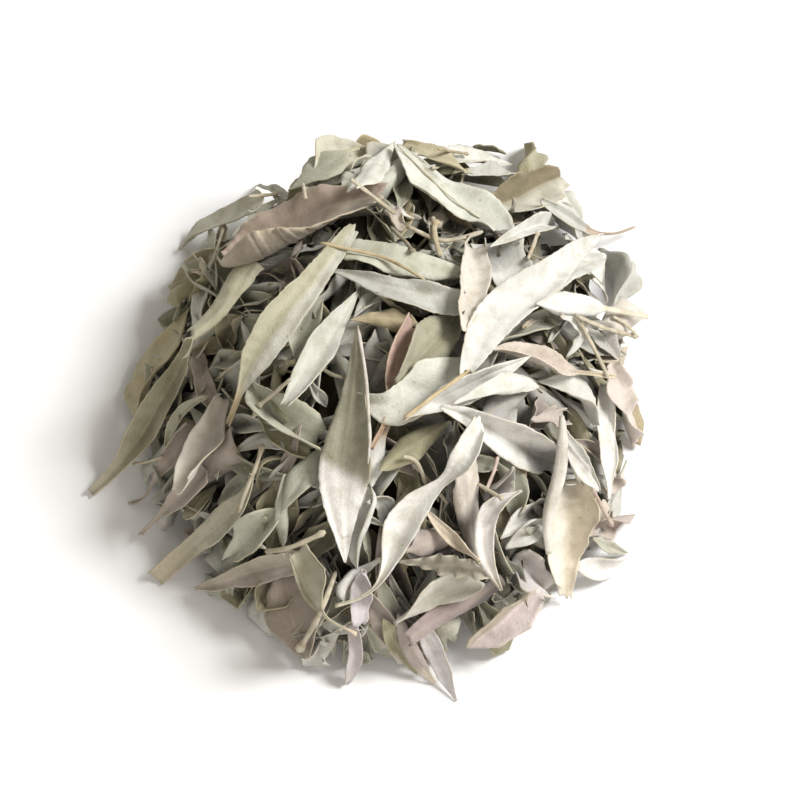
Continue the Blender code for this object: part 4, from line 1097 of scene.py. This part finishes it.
    ("paleFangLeaf", "leaf_right_fang", [(70, -2), (75, -15), (84, -27)], 9, "pale", {}),
    ("hollowCreamLeaf", "leaf_right_trough",
     [(73, -22, 7, 5), (72.8, -30.5, 9.4, 10), (71.4, -42.5, 9, 9), (70.4, -53, 5.6, 5.6),
      (70, -67.4, 3, 2.6)],
     18, "cream",
     {"curl": (1.3, 1.9), "margin": 1.2, "tint": "#D3CBB8", "sideTint": "#DDD8CC", "ruffle": 0.16,
      "waves": 3.5,
      "twist": 0.1, "fold": 0.1, "roll": 0.0, "torn": True}),
    ("creamFlap", "", [(71, -8, 1, 1), (76.4, -17, 3.4, 2.6), (83.4, -26.6, 0.5, 0.5)], 6, "white",
     {"curl": (0.6, 0.5), "torn": False}),
    ("creamRidge", "",
     [(69.6, 3.4, 0.8, 0.8), (69.6, -10, 2.4, 2.4), (67.2, -24, 2.4, 2.4), (63.8, -37, 2, 2),
      (64.4, -52, 1, 1)], 5, "white",
     {"curl": (-1.7, -1.6), "torn": False, "tint": "#DAD7CE", "tipLift": 0.0, "bow": 0.5}),
    # The white lower lobe of this leaf is painted light, where it turns towards the light
    ("longCentreLeaf", "leaf_centre_long",
     [(-12.4, 39.2, 0.4, 0.4), (-12.8, 27, 2.6, 2.6), (-14, 13.6, 4.8, 5), (-15.6, 1.6, 7.2, 7),
      (-17.2, -8.4, 8.8, 8.4), (-18.2, -19.4, 10, 10), (-18.4, -31.4, 7.6, 8), (-18, -43.6, 3.8, 3.6),
      (-17.2, -55.4, 0.4, 0.4)], 20, "sage",
     {"curl": (0.9, 0.5), "margin": 1.4, "tipTint": "#EFEDE9", "tipFrom": 0.6, "tipFade": 0.05,
      "tint": "#9D9B88",
      "twist": -0.6, "roll": 0.1, "fold": -0.12, "torn": False, "ruffle": 0.06}),
]

stalks = [
    ("kinkedStalk", "stalk_kinked", [(8, 79), (14, 76), (21, 73.5), (38, 77)], 1.7, {"knob": 1.0}),
    ("knobbedStalk", "stalk_knobbed", [(21, 67), (19, 74), (19, 81)], 2.0, {"knob": 1.9, "tint": "#C2B79C"}),
    ("rightStalk", "stalk_right", [(75, 44), (82, 31), (88, 19)], 1.6, {"knob": 1.3}),
    ("crestStalk", "stalk_crest", [(-15, 98), (-6, 91), (3, 84)], 1.6, {"knob": 1.3}),
    ("footStalk", "stalk_foot", [(-21, -59), (-27, -75), (-36, -91)], 1.9, {"knob": 1.8}),
    ("hookStalk", "stalk_hook", [(6, -13), (12, -16), (15, -24)], 1.4, {"knob": 1.2}),
    ("leftStalk", "stalk_left", [(-39, 18), (-46, 12), (-52, 7)], 1.5, {"knob": 1.6}),
    ("clearRib", "", [(3.6, 111.6), (10, 105.6), (18, 97.6), (27.6, 88.8), (37, 82.4)], 0.9,
     {"knob": 1.0, "tint": "#E2DECB"}),
    ("strawEdge", "", [(6.8, 2.4), (20, 12.5), (32.8, 21.6)], 1.4, {"knob": 0.8, "tint": "#CDBB98"}),
    ("strawRib", "", [(-27, 72.6), (-14, 69.6), (-1.2, 66.4), (14.8, 57.6)],
     1.3, {"knob": 0.8, "tint": "#C6B795"}),
    ("thinStalk", "", [(1, 79), (6, 74), (10, 69)], 1.5, {"tint": "#B0A893"}),
    ("centreRim", "", [(-12.1, 38.8), (-10, 27), (-8.4, 14), (-7.6, 1), (-7.4, -9), (-8, -16)], 1.2,
     {"knob": 0.7, "tint": "#DDD9CE"}),
    ("yStalk", "", [(-34, 96), (-33.5, 93), (-33, 90)], 1.3, {}),
    ("rightCreamStalk", "", [(76, 43), (88, 38), (100, 35)], 1.6, {}),
    ("rightForkStalk", "", [(90, 43), (95, 40), (99, 36)], 1.3, {}),
    ("lowerLeftStalk", "", [(-49, -51), (-38, -49), (-25, -43)], 1.8, {}),
    ("bowedStalk", "", [(-60, -36), (-57, -27), (-54, -20), (-50, -8)], 1.6, {}),
    ("creamUpright", "", [(56, 66), (58, 71), (60, 77)], 1.5, {"tint": "#D8CFB8"}),
    ("leftTwig", "", [(-90, -13), (-96, -15), (-102, -16)], 1.0, {}),
    ("pinkishStalk", "", [(82, -26), (86, -34), (90, -41)], 1.6, {"tint": "#BFAFA3"}),
    ("thinPinkStalk", "", [(44, -13), (42, -20), (39, -27)], 1.3, {"tint": "#C7B5AA"}),
    ("smallCreamStalk", "", [(36, -24), (41, -27), (46, -30)], 1.4, {}),
    ("topStick", "", [(20, 110), (26, 109), (32, 108)], 1.3, {"tint": "#B3A78D"}),
    ("creamStrip", "", [(-56, 91), (-50, 91.5), (-44, 92)], 1.6, {}),
]

scatter = {
    "inner": 430,  # the first leaves, all over
    "outer": 170,  # then over the back and sides, which the listed leaves leave bare
    "length": (36, 76),
    "width": (9, 21),
    "farthest": {"inner": 0.92, "outer": 1.04},  # leaves that reach further than this share are left out
    "shade": {"inner": 0.84, "outer": 0.98},  # painted shade: the inner leaves are painted darker, for the heap's shaded gaps
    "tries": 8,
    "unit": 155,  # mm that one unit of the grid stands for
    "tints": (
        ("pale", 4.0), ("sage", 4.5), ("olive", 2.2), ("mauve", 1.4),
        ("grey", 1.5), ("white", 1.6), ("tan", 1.0), ("cream", 0.7),
    ),
}


def drawTint(draw):
    names, shares = zip(*scatter["tints"])
    return tints[draw.choices(names, shares)[0]]


def shaded(hexColour, draw):
    # the same colour, a little lighter or darker
    factor = draw.uniform(0.93, 1.05)
    parts = [min(255, int(int(hexColour[i : i + 2], 16) * factor)) for i in (1, 3, 5)]
    return "#{:02X}{:02X}{:02X}".format(*parts)


def scatteredLeaves(prefix, count, ground):
    draw = random.Random(f"{mound['seed']} {prefix}")
    near = np.linspace(-0.05, 0.05, 5)[:, None] * np.ones((1, 5))
    for k in range(count):
        spots = []
        while len(spots) < scatter["tries"]:
            down = math.sqrt(draw.random()) * 0.98
            turn = draw.uniform(-math.pi, math.pi)
            east, north = down * math.cos(turn), down * math.sin(turn)
            atBack = north > 0.35 + 0.3 * abs(east) or math.hypot(east, north) > 0.78
            if prefix == "inner" or atBack:
                spots.append((float(ground[cellsOf(east + near, north + near.T)].mean()), east, north))
        _, east, north = min(spots)
        length = draw.uniform(*scatter["length"])
        slope = math.hypot(east, north)
        heading = math.atan2(north, east) + draw.gauss(0, 0.45 + 1.6 * max(0.0, 0.65 - slope))
        if draw.random() < 0.3:
            heading += math.pi
        step = np.array([math.cos(heading), math.sin(heading)]) * length / 2 / scatter["unit"]
        sway = np.array([-step[1], step[0]]) * draw.uniform(-0.3, 0.3)
        middle = np.array([east, north])
        held = []
        for place in (middle - step, middle + sway, middle + step):
            column, row = cellsOf(place[:1], place[1:])
            held.append(pointAt(*place, float(ground[column[0], row[0]])))
        facing = unit(outward((held[0] + held[2]) / 2) + np.array([draw.gauss(0, 0.16) for _ in range(3)]))
        tint = drawTint(draw)
        leaf = Leaf(f"{prefix}{k}", held, facing, draw.uniform(*scatter["width"]), {"tint": tint})
        # painted shade, darker for the inner leaves
        leaf.paintedLight = leaf.paintedLight * scatter["shade"][prefix]
        yield leaf


# Leaves that lie flat on the table, round the foot of the heap
footRing = {
    "count": 34,
    "halfWidth": 54,  # mm, to their inner ends
    "halfDepth": 60,
    "length": (28, 42),
    "width": (10, 15),
    "tints": ["sage", "olive", "tan", "mauve", "dark"],
}


def footLeaves():
    draw = random.Random(mound["seed"])
    for k in range(footRing["count"]):
        turn = 2 * math.pi * (k + draw.uniform(-0.4, 0.4)) / footRing["count"]
        skew = turn + draw.uniform(-0.45, 0.45)
        x, y = math.cos(turn) * footRing["halfWidth"], math.sin(turn) * footRing["halfDepth"]
        inner = np.array([x, y, 2.0])
        outer = inner + np.array([math.cos(skew), math.sin(skew), 0.0]) * draw.uniform(*footRing["length"])
        middle = (inner + outer) / 2 + np.array([0.0, 0.0, draw.uniform(0.5, 3.0)])
        tint = tints[draw.choice(footRing["tints"])]
        changes = {"tint": tint, "twist": 0.1, "ruffle": 0.08, "curl": (0.4, 0.4)}
        changes["roll"] = draw.uniform(-0.1, 0.1)
        width = draw.uniform(*footRing["width"])
        yield Leaf(f"foot{k}", [inner, middle, outer], np.array([0.0, 0.0, 1.0]), width, changes)


# Small leaves and bits of stalk that have slipped into the gaps of the side that the camera sees
tucked = {
    "leaves": 85,
    "stalks": 18,
    "shade": 0.84,  # painted shade: they lie in the heap's own shadow, so they are painted darker
    "leafLength": (16, 42),
    "leafWidth": (3.5, 9),
    "stalkLength": (10, 26),
    "stalkThick": (0.9, 1.5),
    "tries": 9,
    "around": 11,  # mm round each place that tell whether it is a gap
    "u": (-112, 102),  # mm, where they may lie in the picture
    "v": (-100, 108),
    "middleV": 12,  # they point away from here
    "overTable": 16,  # mm of heap that a place needs under it
    "endsOverTable": 12,  # and under its ends, or the piece is halved
}


def tuckedPieces(nearness, table):
    draw = random.Random(f"{mound['seed']} tucked")
    for k in range(tucked["leaves"] + tucked["stalks"]):
        spots = []
        while len(spots) < tucked["tries"]:
            u, v = draw.uniform(*tucked["u"]), draw.uniform(*tucked["v"])
            column, row = (int(cell) for cell in pictureCells(np.array(u), np.array(v)))
            around = nearness[column - tucked["around"] : column + tucked["around"] + 1,
                              row - tucked["around"] : row + tucked["around"] + 1]
            if nearness[column, row] > table[column, row] + tucked["overTable"]:
                spots.append((nearness[column, row] - around.mean(), u, v))
        _, u, v = min(spots)
        isLeaf = k < tucked["leaves"]
        length = draw.uniform(*tucked["leafLength" if isLeaf else "stalkLength"])
        heading = math.atan2(v - tucked["middleV"], u) + draw.gauss(0, 0.75)
        heading += math.pi if draw.random() < 0.35 else 0.0
        step = np.array([math.cos(heading), math.sin(heading)]) * length / 2
        ends = pictureCells(u + step[0] * np.array([-1, 1]), v + step[1] * np.array([-1, 1]))
        if (nearness[ends] < table[ends] + tucked["endsOverTable"]).any():
            step = step / 2
        sway = draw.uniform(-0.3, 0.3)
        middle = (u - step[1] * sway, v + step[0] * sway)
        places = [(u - step[0], v - step[1]), middle, (u + step[0], v + step[1])]
        if isLeaf:
            changes = {"tint": drawTint(draw)}
            width = draw.uniform(*tucked["leafWidth"])
            piece = listedPiece(Leaf, f"tucked{k}", places, width, changes, nearness)
            # painted shade for the heap's own shadow
            piece.paintedLight = piece.paintedLight * tucked["shade"]
            yield piece
        else:
            changes = {"knob": draw.uniform(1.0, 1.8)}
            thick = draw.uniform(*tucked["stalkThick"])
            yield listedPiece(Stalk, f"tucked{k}", places, thick, changes, nearness)


def listedPiece(kind, name, places, width, changes, nearness):
    # it rises and sinks along its lines of sight, so that it stays at its place in the picture
    held, sights = holdAt([place[:2] for place in places], nearness)
    middle = held[len(held) // 2]
    towardsEye = 0.55 if len(places[0]) == 4 else 0.4
    facing = unit((1 - towardsEye) * outward(middle) + towardsEye * toTheEye)
    piece = kind(name, held, facing, width, changes)
    piece.listed = True
    if len(places[0]) == 4:
        piece.sides = np.array([place[2:] for place in places], float)
        piece.stalk = changes.get("stalk", 0.02)
    piece.wayUp = sights
    return piece


def layHeap():
    ground = bareGround()
    foot = list(footLeaves())
    for leaf in foot:
        settle(leaf, ground, *laying["foot"])
        raiseGround(leaf, ground)
    scattered = []
    for prefix in ("inner", "outer"):
        for leaf in scatteredLeaves(prefix, scatter[prefix], ground):
            settle(leaf, ground, *laying["scattered"])
            if float(polar(leaf.surface(*grids["reach"]))[2].max()) < scatter["farthest"][prefix]:
                raiseGround(leaf, ground)
                scattered.append(leaf)
        print("laid scattered leaves:", len(scattered), "to a mean level of", round(float(ground.mean()), 3))

    nearness = bareTable()
    raiseNearness(innerLitterPoints(), nearness, 0.0)
    for leaf in foot + scattered:
        raiseNearness(leaf.surface(*grids["scattered"]), nearness, leafForm["thick"])
    lower = []
    twigs = []
    table = bareTable()
    for name, places, width, tint, changes in lowerLeaves:
        changes = {"tint": tints[tint], **changes}
        leaf = listedPiece(Leaf, name, places, width, changes, nearness)
        settle(leaf, nearness, *laying["lower"])
        raiseNearness(leaf.surface(*grids["listed"]), nearness, leafForm["thick"])
        lower.append(leaf)
    for piece in tuckedPieces(nearness, table):
        settle(piece, nearness, *laying["tucked"])
        raiseNearness(piece.surface(*grids["tucked"]), nearness, leafForm["thick"])
        (twigs if piece.isStalk else lower).append(piece)
    print("laid the listed lower leaves:", len(lower), "and the tucked twigs:", len(twigs))
    top = []
    for name, node, places, width, tint, changes in topLeaves:
        changes = {"tint": tints[tint], **changes}
        leaf = listedPiece(Leaf, name, places, width, changes, nearness)
        settle(leaf, nearness, *laying["top"])
        raiseNearness(leaf.surface(*grids["listed"]), nearness, leafForm["thick"])
        top.append((leaf, node))
    for name, node, places, thick, changes in stalks:
        stalk = listedPiece(Stalk, name, places, thick, changes, nearness)
        settle(stalk, nearness, thick / 3, *laying["stalk"])
        raiseNearness(stalk.surface(*grids["stalk"]), nearness, 0.0)
        top.append((stalk, node))
    print("laid the top leaves and stalks:", len(top))
    for leaf in lower + [leaf for leaf, _ in top]:
        raiseGround(leaf, ground)
    return foot + scattered, lower, top + [(twig, "") for twig in twigs], smoothed(ground)


# Meshes

def addLeafMesh(bm, leaf, rows, columns, outside):
    # a grid of faces bent into the leaf, with its flat plan as a UV map and its tint at each point
    made = bmesh.ops.create_grid(bm, x_segments=columns - 1, y_segments=rows - 1, size=1.0)
    points = leaf.surface(rows, columns)
    colours = leaf.colours(rows, columns)
    # painted shade: places deep inside the heap are darkened
    colours[..., :3] *= paintedDepthShade(points, outside)
    tintLayer = bm.verts.layers.float_color["leafTint"]
    planLayer = bm.loops.layers.uv["leafPlan"]
    half = leaf.halfWidth(np.linspace(0, 1, rows)) if not leaf.isStalk else np.ones(rows) * 2
    length = leaf.length()
    plan = {}
    for vert in made["verts"]:
        column = round((vert.co.x + 1) / 2 * (columns - 1))
        row = round((vert.co.y + 1) / 2 * (rows - 1))
        across = column / (columns - 1) * 2 - 1
        planned = 0.5 + across * half[row] / felt["planWidth"]
        plan[vert] = (planned, row / (rows - 1) * length / felt["planLength"])
        vert.co = Vector(points[row, column] * mm)
        vert[tintLayer] = colours[row, column]
    faces = {face for vert in made["verts"] for face in vert.link_faces}
    for face in faces:
        face.smooth = True
        for loop in face.loops:
            loop[planLayer].uv = plan[loop.vert]
    if leaf.isStalk:
        bmesh.ops.remove_doubles(bm, verts=made["verts"], dist=0.00001)
        rims = {edge for face in faces if face.is_valid for edge in face.edges if edge.is_boundary}
        bmesh.ops.holes_fill(bm, edges=list(rims))


def startMesh():
    bm = bmesh.new()
    bm.verts.layers.float_color.new("leafTint")
    bm.loops.layers.uv.new("leafPlan")
    return bm


def finishPiece(name, bm, material, slot, nodes=(), thick=0.0):
    mesh = bpy.data.meshes.new(name)
    bm.to_mesh(mesh)
    bm.free()
    mesh.materials.append(material)
    piece = bpy.data.objects.new(name, mesh)
    bpy.context.scene.collection.objects.link(piece)
    if thick:
        skin = piece.modifiers.new("thickness", "SOLIDIFY")
        skin.thickness = thick * mm
        skin.offset = 0.0
    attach(piece, "root")
    if nodes:
        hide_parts(*nodes)
    return piece


# A usual colour for each of the record's slots
slotColours = {
    "leaf_pale": "#D0D2C9",
    "leaf_sage": "#B4B5A5",
    "leaf_olive": "#9C987F",
    "leaf_mauve": "#ADA098",
    "leaf_cream": "#D2C8B6",
}


def slotOf(leaf):
    # the slot whose colour is nearest to the leaf's
    colour = np.array(toLinear(leaf.tint))
    away = {slot: np.abs(np.array(toLinear(usual)) - colour).sum() for slot, usual in slotColours.items()}
    return min(away, key=away.get)


def innerLitterPoints():
    steps = np.linspace(-1.0, 1.0, 420)
    east, north = np.meshgrid(steps, steps, indexing="ij")
    inside = np.hypot(east, north) < 1.0
    return np.array([
        pointAt(e, n, float(innerLevel(np.array(math.hypot(e, n)))))
        for e, n in zip(east[inside][::3], north[inside][::3])
    ])


# The pressed inside of the heap: a lumpy, flat-bottomed mound under the leaves, painted dark as shade
def makeShadedInnerLitter(material):
    bm = startMesh()
    bmesh.ops.create_uvsphere(bm, u_segments=shadedLitter["turns"], v_segments=shadedLitter["rings"], radius=1.0)
    draw = random.Random(mound["seed"])
    for vert in bm.verts:
        down = math.atan2(math.hypot(vert.co.x, vert.co.y), max(vert.co.z, 0.0)) / (math.pi / 2)
        turn = math.atan2(vert.co.y, vert.co.x)
        level = float(innerLevel(np.array(down))) - shadedLitter["below"] + draw.uniform(-1, 1) * shadedLitter["lump"]
        point = pointAt(down * math.cos(turn), down * math.sin(turn), level)
        point[2] = point[2] if vert.co.z > -0.01 else vert.co.z * 20
        vert.co = Vector(point * mm)
    everything = bm.verts[:] + bm.edges[:] + bm.faces[:]
    base = Vector((0, 0, 0.0002))
    cut = bmesh.ops.bisect_plane(bm, geom=everything, plane_co=base, plane_no=(0, 0, -1), clear_outer=True)
    rim = [edge for edge in cut["geom_cut"] if isinstance(edge, bmesh.types.BMEdge)]
    bmesh.ops.contextual_create(bm, geom=rim)
    bmesh.ops.recalc_face_normals(bm, faces=bm.faces)
    return finishPiece("innerLitterPaintedShade", bm, material, "leaf_sage", ["leaf_heap"])


# The scattered leaves make eight pieces, one for each slice of the heap, and the listed lower leaves four
def makeLowerLeaves(scattered, lower, material, outside):
    groups = {}
    for kind, slices, leaves in (("scattered", 8, scattered), ("listed", 4, lower)):
        for leaf in leaves:
            middle = leaf.held[len(leaf.held) // 2]
            part = int((math.atan2(middle[1], middle[0]) / (2 * math.pi) % 1.0) * slices)
            groups.setdefault((kind, part), []).append(leaf)
    for (kind, part), leaves in sorted(groups.items()):
        bm = startMesh()
        for leaf in leaves:
            if kind == "scattered":
                addLeafMesh(bm, leaf, leafForm["scatteredRows"], leafForm["scatteredColumns"], outside)
            else:
                rows = max(leafForm["lowerFewestRows"], int(leaf.length() / leafForm["rowLength"]))
                addLeafMesh(bm, leaf, rows, leafForm["lowerColumns"], outside)
        finishPiece(f"{kind}Leaves{part}", bm, material, "leaf_sage", ["leaf_heap"], leafForm["thick"])


def makeTopLeaves(top, leafMaterial, stalkMaterial, outside):
    looseStalks = startMesh()
    looseLeaves = startMesh()
    for leaf, node in top:
        rows = max(leafForm["fewestRows"], int(leaf.length() / leafForm["rowLength"]))
        if not node:
            if leaf.isStalk:
                addLeafMesh(looseStalks, leaf, *leafForm["looseStalkGrid"], outside)
            else:
                addLeafMesh(looseLeaves, leaf, rows, leafForm["columns"], outside)
            continue
        bm = startMesh()
        if leaf.isStalk:
            addLeafMesh(bm, leaf, *leafForm["stalkGrid"], outside)
            finishPiece(leaf.name, bm, stalkMaterial, "stalk_straw", [node])
        else:
            addLeafMesh(bm, leaf, rows, leafForm["columns"], outside)
            finishPiece(leaf.name, bm, leafMaterial, slotOf(leaf), [node], leafForm["thick"])
    finishPiece("looseStalks", looseStalks, stalkMaterial, "stalk_straw", ["leaf_heap"])
    finishPiece("looseTopLeaves", looseLeaves, leafMaterial, "leaf_pale", ["leaf_heap"], leafForm["thick"])


# Table and light

tableTop = {"size": 14.0, "colour": "#FAFBFD", "clouded": "#F3F2EF", "roughness": 0.6}
lights = {
    # name: (the way it comes from, distance in m, width in m, watts, colour)
    "window": ((0.66, 0.1, 0.75), 3.4, 1.2, 134, "#FFFDFB"),
    "reflector": ((0.1, -0.9, 0.42), 2.0, 1.6, 13, "#FFF6F0"),
}
sky = {"colour": "#ECE6D9", "strength": 0.39}


def makeTable():
    bm = bmesh.new()
    bmesh.ops.create_grid(bm, x_segments=4, y_segments=4, size=tableTop["size"] / 2)
    mesh = bpy.data.meshes.new("paleTable")
    bm.to_mesh(mesh)
    bm.free()
    skin = newMaterial("matPaintedTable")
    place = addNode(skin, "ShaderNodeTexCoord").outputs["Object"]
    cloud = addNode(skin, "ShaderNodeTexNoise", inputs={"Vector": place, "Scale": 3.0, "Detail": 2.0})
    faint = addNode(skin, "ShaderNodeMapRange", smoothStep, {0: cloud.outputs[0], "To Max": 0.03})
    colour = addNode(
        skin, "ShaderNodeMix", colourMix,
        {0: faint.outputs[0], 6: colourOf(tableTop["colour"]), 7: colourOf(tableTop["clouded"])},
    )
    shader = addNode(
        skin, "ShaderNodeBsdfPrincipled",
        inputs={"Base Color": colour.outputs[2], "Roughness": tableTop["roughness"]},
    )
    mesh.materials.append(finishMaterial(skin, shader))
    floor = bpy.data.objects.new("paleTable", mesh)
    bpy.context.scene.collection.objects.link(floor)


def makeLights():
    for name, (way, distance, width, watts, colour) in lights.items():
        lamp = bpy.data.lights.new(name, "AREA")
        lamp.size = width
        lamp.energy = watts
        lamp.color = toLinear(colour)
        holder = bpy.data.objects.new(name, lamp)
        bpy.context.scene.collection.objects.link(holder)
        direction = Vector(way).normalized()
        holder.location = direction * distance
        holder.rotation_euler = direction.to_track_quat("Z", "Y").to_euler()
    world = bpy.data.worlds.new("paleSky")
    world.use_nodes = True
    backdrop = world.node_tree.nodes["Background"]
    backdrop.inputs["Color"].default_value = colourOf(sky["colour"])
    backdrop.inputs["Strength"].default_value = sky["strength"]
    bpy.context.scene.world = world
    bpy.context.scene.view_settings.view_transform = "Standard"


makeCamera()
makeTable()
makeLights()
print("camera, table and lights are in place")
leafSkin = feltedLeaf()
stalkSkin = dryStalk()
shadedLitterSkin = paintedShadeLitter()
scattered, lower, top, outside = layHeap()
makeShadedInnerLitter(shadedLitterSkin)
makeLowerLeaves(scattered, lower, leafSkin, outside)
makeTopLeaves(top, leafSkin, stalkSkin, outside)
print("made", len(scattered) + len(lower), "lower leaves and", len(top), "top leaves and stalks")
